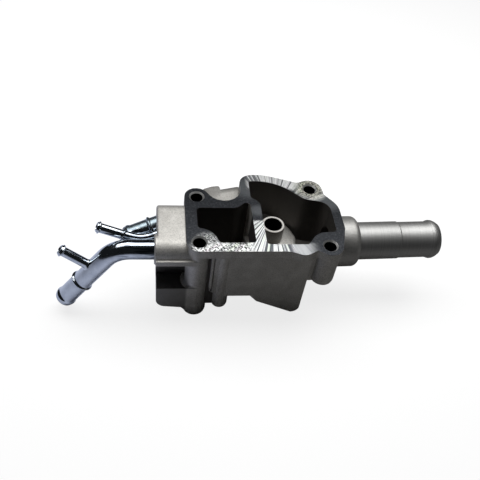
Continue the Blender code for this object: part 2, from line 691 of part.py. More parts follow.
def pipe_bores():
    """Makes the three pipe seats in the block, the gallery behind them and the way into the left chamber."""
    gallery_x = BLOCK_END_X + PIPE_SEAT + GALLERY_BORE / 2
    seat = PIPE_OD / 2 + PRESS_GAP
    small_seat = NIPPLE_OD / 2 + PRESS_GAP
    gallery = GALLERY_BORE / 2
    front_start = Vector((BLOCK_END_X - PIPE_BOSS_PROUD, FRONT_PIPE_Y, PIPE_AXIS_Z))
    rear_start = Vector((BLOCK_END_X, *REAR_PIPE_YZ))
    vent_start = Vector((BLOCK_END_X, *VENT_PIPE_YZ))
    along_x = Vector((1.0, 0.0, 0.0))
    cutters = [
        revolve("front_seat", [(-2.0 * MM, seat), (PIPE_SEAT + PIPE_BOSS_PROUD + PRESS_GAP, seat)],
                front_start, along_x, SMALL_ROUND_STEPS),
        revolve("rear_seat", [(-CUT_OVERSHOOT, seat + 1.2 * MM), (1.6 * MM, seat + 1.2 * MM), (2.8 * MM, seat),
                              (PIPE_SEAT + PRESS_GAP, seat)], rear_start, -rear_pipe_direction(), SMALL_ROUND_STEPS),
        revolve("vent_seat", [(-CUT_OVERSHOOT, small_seat), (VENT_SEAT + PRESS_GAP, small_seat)],
                vent_start, -vent_direction(), SMALL_ROUND_STEPS),
        revolve("vent_way", [(0.0, small_seat - NIPPLE_WALL), (10.0 * MM, small_seat - NIPPLE_WALL)],
                vent_start - vent_direction() * (VENT_SEAT - 1.0 * MM), along_x, SMALL_ROUND_STEPS),
        revolve("gallery", [(0.0, gallery), (BLOCK_REAR_Y - FRONT_PIPE_Y, gallery)],
                (gallery_x, FRONT_PIPE_Y, PIPE_AXIS_Z), (0.0, 1.0, 0.0), SMALL_ROUND_STEPS),
        revolve("front_way", [(0.0, 0.93 * gallery), (PIPE_SEAT + gallery, 0.93 * gallery)],
                (BLOCK_END_X + 5.0 * MM, FRONT_PIPE_Y, PIPE_AXIS_Z), along_x, SMALL_ROUND_STEPS),
        revolve("chamber_way", [(0.0, 0.9 * gallery), (30.0 * MM, 0.9 * gallery)],
                (gallery_x, CHAMBER_WAY_Y, PIPE_AXIS_Z), along_x, SMALL_ROUND_STEPS),
    ]
    return cutters


def rear_pipe_direction():
    """Gives the unit vector along the rear pipe, out of the block."""
    run = math.cos(REAR_PIPE_TILT)
    return Vector((-run * math.cos(REAR_PIPE_YAW), -run * math.sin(REAR_PIPE_YAW), -math.sin(REAR_PIPE_TILT)))


def vent_direction():
    """Gives the unit vector along the vent pipe's seat, out of the block."""
    return Vector(VENT_SEAT_AIM).normalized()


def partition_window():
    """Makes the window under the partition that joins the two chambers."""
    half = PARTITION / 2 + 4.0 * MM
    front = FRONT_Y + FLANGE_STEP + LEFT_WALL + 2.0 * MM
    rear = LEFT_CHAMBER_REAR_Y + 3.5 * MM
    base = -(CHAMBER_DEPTH - 0.4 * MM)
    return prism("partition_window", [
        (front, base),
        (rear, base),
        (rear, -WINDOW_TOP_DEPTH),
        (front, -WINDOW_TOP_DEPTH),
    ], 0, -half, half)


def valley_relief():
    """Cuts the right end of the body free below the short front column, and the floor's corner behind it."""
    x, y = BOLT_FRONT_RIGHT
    cuts = []
    for name, top, reach, inset in (
        ("valley_relief", RELIEF_DEPTH, RELIEF_REACH, 2.0 * MM),
        ("floor_relief", CHAMBER_DEPTH + 0.45 * FLOOR, 1.7 * RELIEF_REACH, 1.0 * MM),
    ):
        left = SUMP_RIGHT_X - inset
        base = -(CHAMBER_DEPTH + FLOOR + 3.0 * MM + inset)
        cuts.append(prism(name, [
            (left, base),
            (x + 30.0 * MM + inset, base),
            (x + 30.0 * MM + inset, -top),
            (left, -top),
        ], 1, FRONT_Y - 10.0 * MM - inset, y + reach))
    return cuts


def as_tools(items, group_name):
    """Puts helper solids in a collection and keeps them out of sight."""
    group = bpy.data.collections.new(group_name)
    bpy.context.scene.collection.children.link(group)
    for item in items:
        bpy.context.scene.collection.objects.unlink(item)
        group.objects.link(item)
        item.hide_render = True
        item.display_type = "WIRE"
    return group


def add_boolean(target, group, operation):
    """Adds an exact Boolean with every solid of a group."""
    cut = target.modifiers.new(group.name, "BOOLEAN")
    cut.operation = operation
    cut.operand_type = "COLLECTION"
    cut.collection = group
    cut.solver = "EXACT"
    return cut


def settle(item, smooth_angle=35.0):
    """Turns an object's finished shape into its own mesh, so that the new edges are shaded crisp too."""
    graph = bpy.context.evaluated_depsgraph_get()
    mesh = bpy.data.meshes.new_from_object(item.evaluated_get(graph))
    mesh.name = item.name
    mesh.shade_smooth()
    mesh.set_sharp_from_angle(angle=math.radians(smooth_angle))
    item.modifiers.clear()
    item.data = mesh


def build_housing(material):
    """Builds the casting from its outer forms and machines its hollows, seats and holes."""
    flange = flange_circles()
    housing = loft("housing", [(belt(flange), 0.0), (belt(flange), -FLANGE_THICKNESS)])
    bodies = [
        body_shell("left_body", left_chamber_circles(), LEFT_WALL),
        body_shell("right_body", right_chamber_circles(), RIGHT_WALL),
    ]
    forms = [spigot_solid(), column_web()]
    forms += sump() + pipe_block() + foot() + front_columns() + short_columns() + rear_lugs()
    cores = [
        chamber_core("left_core", left_chamber_circles(), CHAMBER_DEPTH),
        chamber_core("right_core", right_chamber_circles(), CHAMBER_DEPTH),
        sump_core(),
        partition_window(),
    ]
    add_boolean(housing, as_tools(bodies, "chamber_bodies"), "UNION")
    add_boolean(housing, as_tools(valley_relief(), "reliefs"), "DIFFERENCE")
    add_boolean(housing, as_tools(forms, "outer_forms"), "UNION")
    add_boolean(housing, as_tools(cores, "chamber_cores"), "DIFFERENCE")
    add_boolean(housing, as_tools(pad_and_ring(), "inner_forms"), "UNION")
    ring_bore = revolve("ring_bore", [
        (-1.0 * MM, RING_BORE / 2 + 0.6 * MM),
        (0.6 * MM, RING_BORE / 2),
        (RING_BORE_DEPTH - RING_RIM_DEPTH, RING_BORE / 2),
    ], (*RING_XY, -RING_RIM_DEPTH), (0.0, 0.0, -1.0))
    holes = bolt_bores() + pipe_bores() + [spigot_bore(), ring_bore]
    add_boolean(housing, as_tools(holes, "machined_holes"), "DIFFERENCE")
    settle(housing)
    housing.data.materials.append(material)
    return housing


def sweep(name, stations, bore_r, steps):
    """Sweeps a round tube through stations of (centre, direction, outer radius), open from end to end."""
    bm = bmesh.new()
    side = Vector((0.0, 1.0, 0.0))
    outer_rings = []
    inner_rings = []
    for index, (centre, direction, radius) in enumerate(stations):
        forward = direction.normalized()
        side = (side - forward * side.dot(forward)).normalized()
        up = forward.cross(side)
        arms = [math.tau * step / steps for step in range(steps)]
        arms = [side * math.cos(angle) + up * math.sin(angle) for angle in arms]
        outer_rings.append([bm.verts.new(centre + arm * radius) for arm in arms])
        around = stations[max(index - 1, 0)][1], stations[min(index + 1, len(stations) - 1)][1]
        bends = any(forward.angle(other) > 0.001 for other in around)
        if bends or index in (0, len(stations) - 1):
            inner_rings.append([bm.verts.new(centre + arm * bore_r) for arm in arms])
    for rings in (outer_rings, inner_rings):
        for lower, upper in zip(rings, rings[1:]):
            for index in range(steps):
                after = (index + 1) % steps
                bm.faces.new((lower[index], lower[after], upper[after], upper[index]))
    for outer_ring, inner_ring in ((outer_rings[0], inner_rings[0]), (outer_rings[-1], inner_rings[-1])):
        for index in range(steps):
            after = (index + 1) % steps
            bm.faces.new((outer_ring[index], outer_ring[after], inner_ring[after], inner_ring[index]))
    return make_object(name, bm)


def straight_run(start, direction, marks):
    """Gives stations along a straight line from (distance, outer radius) marks."""
    return [(start + direction * along, direction, radius) for along, radius in marks]


def bend_run(start, direction, towards, bend_r, angle, radius, steps=8):
    """Gives stations round a bend, without its first and last, with its end point and end direction."""
    centre = start + towards * bend_r
    stations = []
    for step in range(1, steps + 1):
        turn = angle * step / steps
        spot = centre + (direction * math.sin(turn) - towards * math.cos(turn)) * bend_r
        heading = direction * math.cos(turn) + towards * math.sin(turn)
        stations.append((spot, heading, radius))
    return stations, stations[-1][0], stations[-1][1]


def bead_marks(at, radius, rise, half=1.7 * MM):
    """Gives the marks of a rolled bead round a pipe."""
    return [
        (at - half, radius),
        (at - 0.5 * half, radius + 0.75 * rise),
        (at, radius + rise),
        (at + 0.5 * half, radius + 0.75 * rise),
        (at + half, radius),
    ]


def tail_marks(stop_bead, tail, radius, rise):
    """Gives the marks of a hose tail: a stop bead if it has one, and a rounded bead at the open end."""
    marks = bead_marks(stop_bead, radius, rise) if stop_bead else []
    crest = tail - TAIL_BEAD_INSET * radius / (PIPE_OD / 2)
    half = 0.8 * (tail - crest)
    marks += [
        (crest - half, radius),
        (crest - 0.4 * half, radius + 0.45 * rise),
        (crest + 0.2 * half, radius + 0.5 * rise),
        (crest + 0.7 * half, radius + 0.1 * rise),
        (tail - 0.15 * (tail - crest), radius - 0.5 * rise),
        (tail, radius - 0.95 * rise + 0.3 * MM),
    ]
    return marks


def front_pipe_frame():
    """Gives the point and the direction where the front pipe's bend ends."""
    start = Vector((FRONT_BEND_X, FRONT_PIPE_Y, PIPE_AXIS_Z))
    return bend_run(start, Vector((-1.0, 0.0, 0.0)), Vector((0.0, 0.0, -1.0)), FRONT_BEND_R,
                    FRONT_BEND_ANGLE, PIPE_OD / 2)


def front_nipple_line():
    """Gives the root on the front pipe's axis and the direction of its side nipple."""
    _, end, heading = front_pipe_frame()
    return end + heading * FRONT_NIPPLE_AT, Vector(FRONT_NIPPLE_AIM).normalized()


def build_front_pipe(material):
    """Builds the bent front heater pipe with the hole for its nipple."""
    radius = PIPE_OD / 2
    root = Vector((BLOCK_END_X + PIPE_SEAT, FRONT_PIPE_Y, PIPE_AXIS_Z))
    along = Vector((-1.0, 0.0, 0.0))
    bend, end, heading = front_pipe_frame()
    reach = root.x - FRONT_BEND_X
    stations = straight_run(root, along, [(0.0, radius - 0.5 * MM), (0.5 * MM, radius), (reach, radius)])
    stations += bend
    stations += straight_run(end, heading, tail_marks(FRONT_STOP_BEAD, FRONT_TAIL, radius, PIPE_BEAD))
    pipe = sweep("front_heater_pipe", stations, radius - PIPE_WALL, PIPE_STEPS)
    spot, aim = front_nipple_line()
    fit = NIPPLE_OD / 2 + PRESS_GAP
    hole = revolve("front_nipple_hole", [(0.0, fit), (radius + CUT_OVERSHOOT, fit)], spot, aim, SMALL_ROUND_STEPS)
    add_boolean(pipe, as_tools([hole], "nipple_holes"), "DIFFERENCE")
    settle(pipe)
    pipe.data.materials.append(material)
    return pipe


def build_front_nipple(material):
    """Builds the straight nipple brazed into the front pipe."""
    spot, aim = front_nipple_line()
    radius = NIPPLE_OD / 2
    first = PIPE_OD / 2 - PIPE_WALL
    marks = [(first, radius)] + tail_marks(0.0, FRONT_NIPPLE_LENGTH, radius, NIPPLE_BEAD)
    nipple = sweep("front_nipple", straight_run(spot, aim, marks), radius - NIPPLE_WALL, NIPPLE_STEPS)
    nipple.data.materials.append(material)
    return nipple


def build_rear_pipe(material):
    """Builds the short rear heater pipe, which leaves the block at a downward slant."""
    radius = PIPE_OD / 2
    along = rear_pipe_direction()
    root = Vector((BLOCK_END_X, *REAR_PIPE_YZ)) - along * PIPE_SEAT
    marks = [(0.0, radius - 0.5 * MM), (0.5 * MM, radius)]
    marks += tail_marks(PIPE_SEAT + REAR_STOP_BEAD, PIPE_SEAT + REAR_TAIL, radius, PIPE_BEAD)
    pipe = sweep("rear_heater_pipe", straight_run(root, along, marks), radius - PIPE_WALL, PIPE_STEPS)
    pipe.data.materials.append(material)
    return pipe


def sag_run(start, leaving, end, arriving, reach, radius, steps=9):
    """Gives the stations of a soft curve between two points, after its first."""
    first = start + leaving * reach
    second = end - arriving * reach
    stations = []
    for step in range(1, steps + 1):
        t = step / steps
        u = 1.0 - t
        spot = start * u ** 3 + first * 3.0 * u * u * t + second * 3.0 * u * t * t + end * t ** 3
        heading = (first - start) * u * u + (second - first) * 2.0 * u * t + (end - second) * t * t
        stations.append((spot, heading, radius))
    return stations


def build_vent_pipe(material):
    """Builds the small pipe between the two big ones, which sags out of the block and rises to its tip."""
    radius = NIPPLE_OD / 2
    mouth = Vector((BLOCK_END_X, *VENT_PIPE_YZ))
    leaving = vent_direction()
    knee = Vector(VENT_KNEE)
    arriving = Vector(VENT_TAIL_AIM).normalized()
    stations = straight_run(mouth - leaving * VENT_SEAT, leaving, [(0.0, radius), (VENT_SEAT, radius)])
    stations += sag_run(mouth, leaving, knee, arriving, VENT_SAG_REACH, radius)
    stations += straight_run(knee, arriving, tail_marks(VENT_STOP_BEAD, VENT_TAIL, radius, NIPPLE_BEAD))
    pipe = sweep("vent_pipe", stations, radius - NIPPLE_WALL, NIPPLE_STEPS)
    pipe.data.materials.append(material)
    return pipe


def main():
    """Builds the whole housing under one empty at the gasket face."""
    clear_scene()
    aluminium = make_material("cast_aluminium", (0.56, 0.55, 0.52), 0.75, 0.5)
    steel = make_material("plated_steel", (0.72, 0.75, 0.78), 1.0, 0.15)
    root = bpy.data.objects.new("coolant_housing", None)
    bpy.context.scene.collection.objects.link(root)
    pieces = [
        build_housing(aluminium),
        build_front_pipe(steel),
        build_front_nipple(steel),
        build_rear_pipe(steel),
        build_vent_pipe(steel),
    ]
    for piece in pieces:
        piece.parent = root


main()
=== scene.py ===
"""Studio picture of a two-chamber coolant housing: finishes, round pipes, light, floor and camera.

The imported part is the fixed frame. Lengths in this script are in millimetres unless a name says otherwise,
and are turned into metres where a mesh, a light or the camera is made. A Ramp is where a mask starts and
where it is full. A share is how much of a tone is laid over the others.
"""

import functools
import logging
import math
import operator
from dataclasses import dataclass
from enum import Enum
from typing import Optional, Union

import bmesh
import bpy
import numpy as np
from mathutils import Matrix, Vector
from mathutils.bvhtree import BVHTree


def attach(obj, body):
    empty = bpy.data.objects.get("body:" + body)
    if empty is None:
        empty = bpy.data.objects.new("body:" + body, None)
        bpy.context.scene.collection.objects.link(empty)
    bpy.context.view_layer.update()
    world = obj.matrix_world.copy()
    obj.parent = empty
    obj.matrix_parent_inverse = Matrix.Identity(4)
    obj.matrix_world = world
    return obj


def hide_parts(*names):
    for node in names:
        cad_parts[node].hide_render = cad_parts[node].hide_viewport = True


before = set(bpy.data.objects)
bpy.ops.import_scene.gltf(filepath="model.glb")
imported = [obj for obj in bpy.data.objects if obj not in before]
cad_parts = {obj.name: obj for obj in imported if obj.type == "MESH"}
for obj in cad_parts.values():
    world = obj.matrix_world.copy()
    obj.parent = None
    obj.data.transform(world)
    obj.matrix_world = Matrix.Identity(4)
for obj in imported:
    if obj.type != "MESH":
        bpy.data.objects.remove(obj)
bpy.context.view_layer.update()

LOG = logging.getLogger("coolant_housing")
MM = 0.001
MM_IN_METRE = 1000.0
ENCLOSED = "enclosed"
STALE_LAYERS = ("custom_normal", "sharp_edge", "sharp_face")
TANGENT_REACH = 0.15
LINE_POINTS = 80
ARC_POINTS = 120
SAG_POINTS = 160

Number = Union[float, "Value"]
Colour = tuple[float, float, float]
Place = tuple[float, float]
Ramp = tuple[float, float]


class Slot(Enum):
    """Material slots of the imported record."""

    ALUMINIUM = "cast_aluminium"
    STEEL = "plated_steel"


@dataclass(frozen=True)
class Mottle:
    """A noise pattern: features a millimetre, octaves above the first and each octave's share of the last."""

    scale: float
    detail: float = 2.0
    roughness: float = 0.5


class MixKind(Enum):
    """What a Mix node mixes: its data type, the index of its first input and that of its output."""

    FLOAT = ("FLOAT", 2, 0)
    VECTOR = ("VECTOR", 4, 1)
    COLOUR = ("RGBA", 6, 2)


class Blend(Enum):
    """How a Mix node joins two colours."""

    MIX = "MIX"
    MULTIPLY = "MULTIPLY"


class Value:
    """A float in a shader graph, with arithmetic that adds Math nodes."""

    def __init__(self, graph: "Graph", socket: bpy.types.NodeSocket) -> None:
        """Keeps the graph and the output socket."""
        self.graph = graph
        self.socket = socket

    def __add__(self, other: Number) -> "Value":
        """Adds."""
        return self.graph.math("ADD", self, other)

    __radd__ = __add__

    def __sub__(self, other: Number) -> "Value":
        """Subtracts."""
        return self.graph.math("SUBTRACT", self, other)

    def __rsub__(self, other: Number) -> "Value":
        """Subtracts from a number."""
        return self.graph.math("SUBTRACT", other, self)

    def __mul__(self, other: Number) -> "Value":
        """Multiplies."""
        return self.graph.math("MULTIPLY", self, other)

    __rmul__ = __mul__

    def ramp(self, low: float, high: float) -> "Value":
        """Rises smoothly from 0 at low to 1 at high, or falls if high is the smaller.

        Args:
            low: Where the result is 0.
            high: Where the result is 1.

        Returns:
            The smooth step.
        """
        inputs = {"Value": self, "From Min": min(low, high), "From Max": max(low, high)}
        settings = {"interpolation_type": "SMOOTHSTEP"}
        step = self.graph.value(self.graph.node("ShaderNodeMapRange", inputs, settings), "Result")
        return step if low < high else 1.0 - step


class Graph:
    """Builds one procedural material on the Principled shader."""

    def __init__(self, name: str) -> None:
        """Starts a material with nothing but its shader and output."""
        self.material = bpy.data.materials.new(name)
        self.material.use_nodes = True
        self.tree = self.material.node_tree
        self.tree.nodes.clear()
        self.shader = self.tree.nodes.new("ShaderNodeBsdfPrincipled")
        self.output = self.tree.nodes.new("ShaderNodeOutputMaterial")
        self.tree.links.new(self.shader.outputs["BSDF"], self.output.inputs["Surface"])
        self.coordinates = self.node("ShaderNodeTexCoord").outputs["Object"]

    def feed(self, socket: bpy.types.NodeSocket, source: object) -> None:
        """Links a socket to a value or an output, or sets it to a constant.

        Args:
            socket: The input socket.
            source: A value, an output socket, a colour or a number.
        """
        if isinstance(source, Value):
            self.tree.links.new(source.socket, socket)
        elif isinstance(source, bpy.types.NodeSocket):
            self.tree.links.new(source, socket)
        elif isinstance(source, tuple) and len(source) == 3 and socket.type == "RGBA":
            socket.default_value = (*source, 1.0)
        else:
            socket.default_value = source

    def node(self, kind: str, inputs: Optional[dict] = None,
             settings: Optional[dict] = None) -> bpy.types.Node:
        """Adds any node.

        Args:
            kind: The node's type name.
            inputs: What feeds its inputs, by name or index.
            settings: Its own properties, by name.

        Returns:
            The new node.
        """
        made = self.tree.nodes.new(kind)
        for name, setting in (settings or {}).items():
            setattr(made, name, setting)
        for name, source in (inputs or {}).items():
            self.feed(made.inputs[name], source)
        return made

    def value(self, node: bpy.types.Node, output: Union[str, int] = 0) -> Value:
        """Wraps an output of a node."""
        return Value(self, node.outputs[output])

    def math(self, operation: str, *terms: Number) -> Value:
        """Adds a Math node."""
        return self.value(self.node("ShaderNodeMath", dict(enumerate(terms)), {"operation": operation}))

    def _mixed(self, kind: MixKind, factor: Number, first: object, second: object,
               blend: Blend = Blend.MIX) -> bpy.types.NodeSocket:
        """Adds a Mix node.

        Args:
            kind: What it mixes.
            factor: The second's share.
            first: What it gives at a share of 0.
            second: What it gives at a share of 1.
            blend: How it joins two colours.

        Returns:
            The output that carries the mixture.
        """
        data_type, first_input, output = kind.value
        inputs = {0: factor, first_input: first, first_input + 1: second}
        made = self.node("ShaderNodeMix", inputs, {"data_type": data_type, "blend_type": blend.value})
        return made.outputs[output]

    def mix(self, factor: Number, first: object, second: object,
            blend: Blend = Blend.MIX) -> bpy.types.NodeSocket:
        """Mixes two colours."""
        return self._mixed(MixKind.COLOUR, factor, first, second, blend)

    def blend(self, factor: Number, first: Number, second: Number) -> Value:
        """Mixes two floats."""
        return Value(self, self._mixed(MixKind.FLOAT, factor, first, second))

    def blend_vectors(self, factor: Number, first: object, second: object) -> bpy.types.NodeSocket:
        """Mixes two vectors."""
        return self._mixed(MixKind.VECTOR, factor, first, second)

    def axes(self) -> tuple[Value, Value, Value]:
        """Gives the object position in millimetres as three values."""
        split = self.node("ShaderNodeSeparateXYZ", {0: self.coordinates})
        return tuple(self.value(split, index) * MM_IN_METRE for index in range(3))

    def normal_axes(self) -> tuple[Value, Value, Value]:
        """Gives the surface normal as three values."""
        split = self.node("ShaderNodeSeparateXYZ", {0: self.node("ShaderNodeNewGeometry").outputs["Normal"]})
        return tuple(self.value(split, index) for index in range(3))

    def vector(self, x: Number, y: Number, z: Number) -> bpy.types.NodeSocket:
        """Joins three values into a vector."""
        return self.node("ShaderNodeCombineXYZ", {0: x, 1: y, 2: z}).outputs[0]

    def noise(self, pattern: Mottle, at: object = None) -> Value:
        """Adds noise.

        Args:
            pattern: What it looks like.
            at: The vector that it follows, or none for the place on the object.

        Returns:
            Noise from 0 to 1.
        """
        scale = pattern.scale * MM_IN_METRE if at is None else pattern.scale
        inputs = {"Vector": self.coordinates if at is None else at, "Scale": scale}
        inputs |= {"Detail": pattern.detail, "Roughness": pattern.roughness}
        return self.value(self.node("ShaderNodeTexNoise", inputs), "Fac")

    def finish(self, colour: object, metallic: Number, roughness: Number, height: Number, bump: float,
               normal: object = None) -> bpy.types.Material:
        """Feeds the shader.

        Args:
            colour: The base colour.
            metallic: The metallic share.
            roughness: The roughness.
            height: The relief's height in millimetres.
            bump: The relief's strength from 0 to 1.
            normal: The normal that the relief stands on, or none for the mesh's own.

        Returns:
            The finished material.
        """
        self.feed(self.shader.inputs["Base Color"], colour)
        self.feed(self.shader.inputs["Metallic"], metallic)
        self.feed(self.shader.inputs["Roughness"], roughness)
        inputs = {"Height": height, "Strength": bump, "Distance": MM}
        if normal is not None:
            inputs["Normal"] = normal
        relief = self.node("ShaderNodeBump", inputs)
        self.feed(self.shader.inputs["Normal"], relief.outputs["Normal"])
        return self.material


DRAWN = Mottle(1.0, 1.0)
TURNED = Mottle(1.0, 2.0, 0.6)


def distance(x: Value, y: Value, centre: Place) -> Value:
    """Gives the distance to an upright axis."""
    across, along = x - centre[0], y - centre[1]
    return x.graph.math("SQRT", across * across + along * along)


@dataclass(frozen=True)
class Patch:
    """A stretch with soft edges: each edge is the place where the mask is 0 and the place where it is 1."""

    x_edges: tuple[Ramp, ...]
    y_edges: tuple[Ramp, ...]

    def mask(self, x: Value, y: Value) -> Value:
        """Multiplies the ramps of all edges."""
        steps = [x.ramp(*edge) for edge in self.x_edges] + [y.ramp(*edge) for edge in self.y_edges]
        return functools.reduce(operator.mul, steps)


@dataclass(frozen=True)
class Spot:
    """A round patch: the mask is 0 from reach outwards and 1 from core inwards."""

    centre: Place
    reach: float
    core: float

    def mask(self, x: Value, y: Value) -> Value:
        """Gives the spot's mask."""
        return distance(x, y, self.centre).ramp(self.reach, self.core)


@dataclass(frozen=True)
class Dashes:
    """Short tool marks, drawn out in one direction. Each direction is an X and a Y share."""

    across: tuple[float, float]
    along: tuple[float, float]
    fineness: tuple[float, float]
    seed: float
    edge: Ramp
    gaps: Ramp
    share: float

    def mask(self, x: Value, y: Value, grit: Value) -> Value:
        """Lays marks whose noise changes fast across and slowly along them, and breaks them up with grit.

        Args:
            x: Millimetres along X.
            y: Millimetres along Y.
            grit: Noise from 0 to 1.

        Returns:
            The marks' mask.
        """
        across = (x * self.across[0] + y * self.across[1]) * self.fineness[0]
        along = (x * self.along[0] + y * self.along[1]) * self.fineness[1]
        drawn = x.graph.noise(DRAWN, x.graph.vector(across, along, self.seed))
        return drawn.ramp(*self.edge) * grit.ramp(*self.gaps) * self.share


@dataclass(frozen=True)
class MilledFace:
    """Paint of the gasket face: dark where the milled face reflects no light, which is painted shade, and
    stretches of painted reflection of the lamp with streaks from the cutter's centre.
    """

    speck: Mottle = Mottle(0.55, 3.0, 0.7)
    grit: Mottle = Mottle(0.5, 1.0)
    wear: Mottle = Mottle(0.8)
    # painted shade: the milled metal is painted this dark where it reflects no light
    unlit_slate: Colour = (0.025, 0.027, 0.031)
    slate_light: Colour = (0.105, 0.11, 0.12)
    # painted sheen: a lighter tone of the dark face where it catches some light
    slate_sheen: Colour = (0.17, 0.18, 0.19)
    # painted reflection of the lamp in the milled face
    bright: Colour = (0.74, 0.75, 0.74)
    streak_dark: Colour = (0.09, 0.095, 0.105)
    scratch: Colour = (0.16, 0.17, 0.19)
    dash_black: Colour = (0.004, 0.004, 0.004)
    satin: Colour = (0.34, 0.35, 0.36)
    white: Colour = (1.0, 1.0, 1.0)
    green_tint: Colour = (0.66, 0.90, 0.50)
    pink_tint: Colour = (0.95, 0.62, 0.80)
    cream_tint: Colour = (0.97, 0.93, 0.74)
    centre: Place = (14.0, 12.0)
    fan_fineness: float = 26.0
    scratch_fineness: float = 90.0
    tint_fineness: float = 17.0
    streak_stretch: float = 0.012
    fan_edge: Ramp = (0.41, 0.47)
    scratch_edge: Ramp = (0.54, 0.62)
    scratch_share: float = 0.65
    green_edge: Ramp = (0.63, 0.67)
    pink_edge: Ramp = (0.36, 0.32)
    tint_share: float = 0.22
    cream_share: float = 0.7
    speck_edge: Ramp = (0.42, 0.8)
    speck_share: float = 0.6
    sheen_share: float = 0.5
    sheen_spots: tuple[Spot, ...] = (
        Spot((66.0, 27.0), 17.0, 5.1),
        Spot((-4.0, 42.0), 19.0, 5.7),
        Spot((1.0, 14.0), 9.0, 2.7),
    )
    dashes: tuple[Dashes, ...] = (
        Dashes((1.0, 1.0), (1.0, -1.0), (0.75, 0.24), 5.0, (0.50, 0.55), (0.36, 0.44), 0.95),
        Dashes((1.0, -0.6), (0.6, 1.0), (0.85, 0.28), 9.0, (0.53, 0.59), (0.56, 0.48), 0.9),
    )
    dashed: Patch = Patch(((-4.0, -12.0),), ((10.0, 0.0),))
    dashed_brightness: float = 0.9
    ear: Spot = Spot((51.0, 42.0), 18.0, 5.4)
    satin_reflection_end: Patch = Patch(((22.0, 27.0),), ((0.0, -8.0),))
    satin_reflection_share: float = 0.85
    # painted highlight: the rear arc of the reflection lifted towards white
    arc_highlight: Patch = Patch(((46.0, 38.0),), ((36.0, 44.0),))
    arc_highlight_share: float = 0.1
    lit_strip: Patch = Patch(((-60.0, -50.0), (48.0, 34.0)), ((-22.0, -25.0),))
    lit_foot: Patch = Patch(((-12.0, -9.0), (24.0, 20.0)), ((3.0, 0.5),))
    lit_arc: Patch = Patch(((-7.0, -2.0), (52.0, 44.0)), ((38.0, 44.0),))
    lit_ear: Spot = Spot((51.0, 42.0), 18.0, 12.0)
    lit_corner: Spot = Spot((-44.0, -24.0), 14.0, 6.0)
    corner_share: float = 0.7
    marks_per_mm: float = 9.0

    def colour(self, x: Value, y: Value) -> bpy.types.NodeSocket:
        """Paints the face: painted shade where it reflects no light, painted sheen spots, and the painted
        reflection of the lamp.

        Args:
            x: Millimetres along X.
            y: Millimetres along Y.

        Returns:
            The base colour.
        """
        graph = x.graph
        speck = graph.noise(self.speck).ramp(*self.speck_edge)
        dark = graph.mix(speck * self.speck_share, self.unlit_slate, self.slate_light)
        # painted sheen spots on the dark face
        sheen = functools.reduce(operator.add, [spot.mask(x, y) for spot in self.sheen_spots])
        dark = graph.mix(graph.math("MINIMUM", sheen, 1.0) * self.sheen_share, dark, self.slate_sheen)
        # the painted reflection is laid over the painted shade
        return graph.mix(self._lit(x, y), dark, self._painted_reflection(x, y))

    def relief(self, x: Value, y: Value) -> Value:
        """Gives the relief of the circular tool marks."""
        marks = x.graph.math("SINE", distance(x, y, self.centre) * self.marks_per_mm)
        return marks + x.graph.noise(self.wear)

    def _painted_reflection(self, x: Value, y: Value) -> bpy.types.NodeSocket:
        """Paints the reflection of the lamp, with streaks, scratches, dashes, faint tints, a dimmer stretch
        at the strip's end and a lifted rear arc; all of it is painted reflection.

        Args:
            x: Millimetres along X.
            y: Millimetres along Y.

        Returns:
            Their colour.
        """
        graph = x.graph
        ear = self.ear.mask(x, y)
        marked = self.dashed.mask(x, y) + ear
        fan = self._streaks(x, y, self.fan_fineness).ramp(*self.fan_edge)
        reflection = graph.mix(fan + marked * self.dashed_brightness, self.streak_dark, self.bright)
        scratch = self._streaks(x, y, self.scratch_fineness).ramp(*self.scratch_edge)
        reflection = graph.mix(scratch * self.scratch_share, reflection, self.scratch)
        grit = graph.noise(self.grit)
        marked = graph.math("MINIMUM", marked, 1.0)
        for dashes in self.dashes:
            reflection = graph.mix(dashes.mask(x, y, grit) * marked, reflection, self.dash_black)
        hue = self._streaks(x, y, self.tint_fineness)
        for edge, tint in ((self.green_edge, self.green_tint), (self.pink_edge, self.pink_tint)):
            reflection = graph.mix(hue.ramp(*edge) * self.tint_share, reflection, tint, Blend.MULTIPLY)
        reflection = graph.mix(ear * self.cream_share, reflection, self.cream_tint, Blend.MULTIPLY)
        reflection = graph.mix(self.satin_reflection_end.mask(x, y) * self.satin_reflection_share, reflection, self.satin)
        # painted highlight on the rear arc
        return graph.mix(self.arc_highlight.mask(x, y) * self.arc_highlight_share, reflection, self.white)

    def _streaks(self, x: Value, y: Value, fineness: float) -> Value:
        """Gives streaks that run out from the cutter's centre.

        Args:
            x: Millimetres along X.
            y: Millimetres along Y.
            fineness: Streaks to a radian.

        Returns:
            Noise from 0 to 1, drawn out along the rays.
        """
        graph = x.graph
        angle = graph.math("ARCTAN2", y - self.centre[1], x - self.centre[0])
        away = distance(x, y, self.centre)
        return graph.noise(DRAWN, graph.vector(angle * fineness, away * self.streak_stretch, fineness))

    def _lit(self, x: Value, y: Value) -> Value:
        """Gives where the painted reflection lies.

        Args:
            x: Millimetres along X.
            y: Millimetres along Y.

        Returns:
            The mask of the front strip and corner, the partition's foot, the rear arc and the rear ear.
        """
        whole = [zone.mask(x, y) for zone in (self.lit_strip, self.lit_foot, self.lit_arc, self.lit_ear)]
        lit = functools.reduce(operator.add, whole) + self.lit_corner.mask(x, y) * self.corner_share
        return x.graph.math("MINIMUM", lit, 1.0)


@dataclass(frozen=True)
class CastingZones:
    """Where each finish and each stretch of painted shade lies on the casting, each as a mask from 0 to 1."""

    face: Value
    chamfer: Value
    hole_shade: Value
    inside: Value
    shade: Value
    collar: Value
    spigot: Value


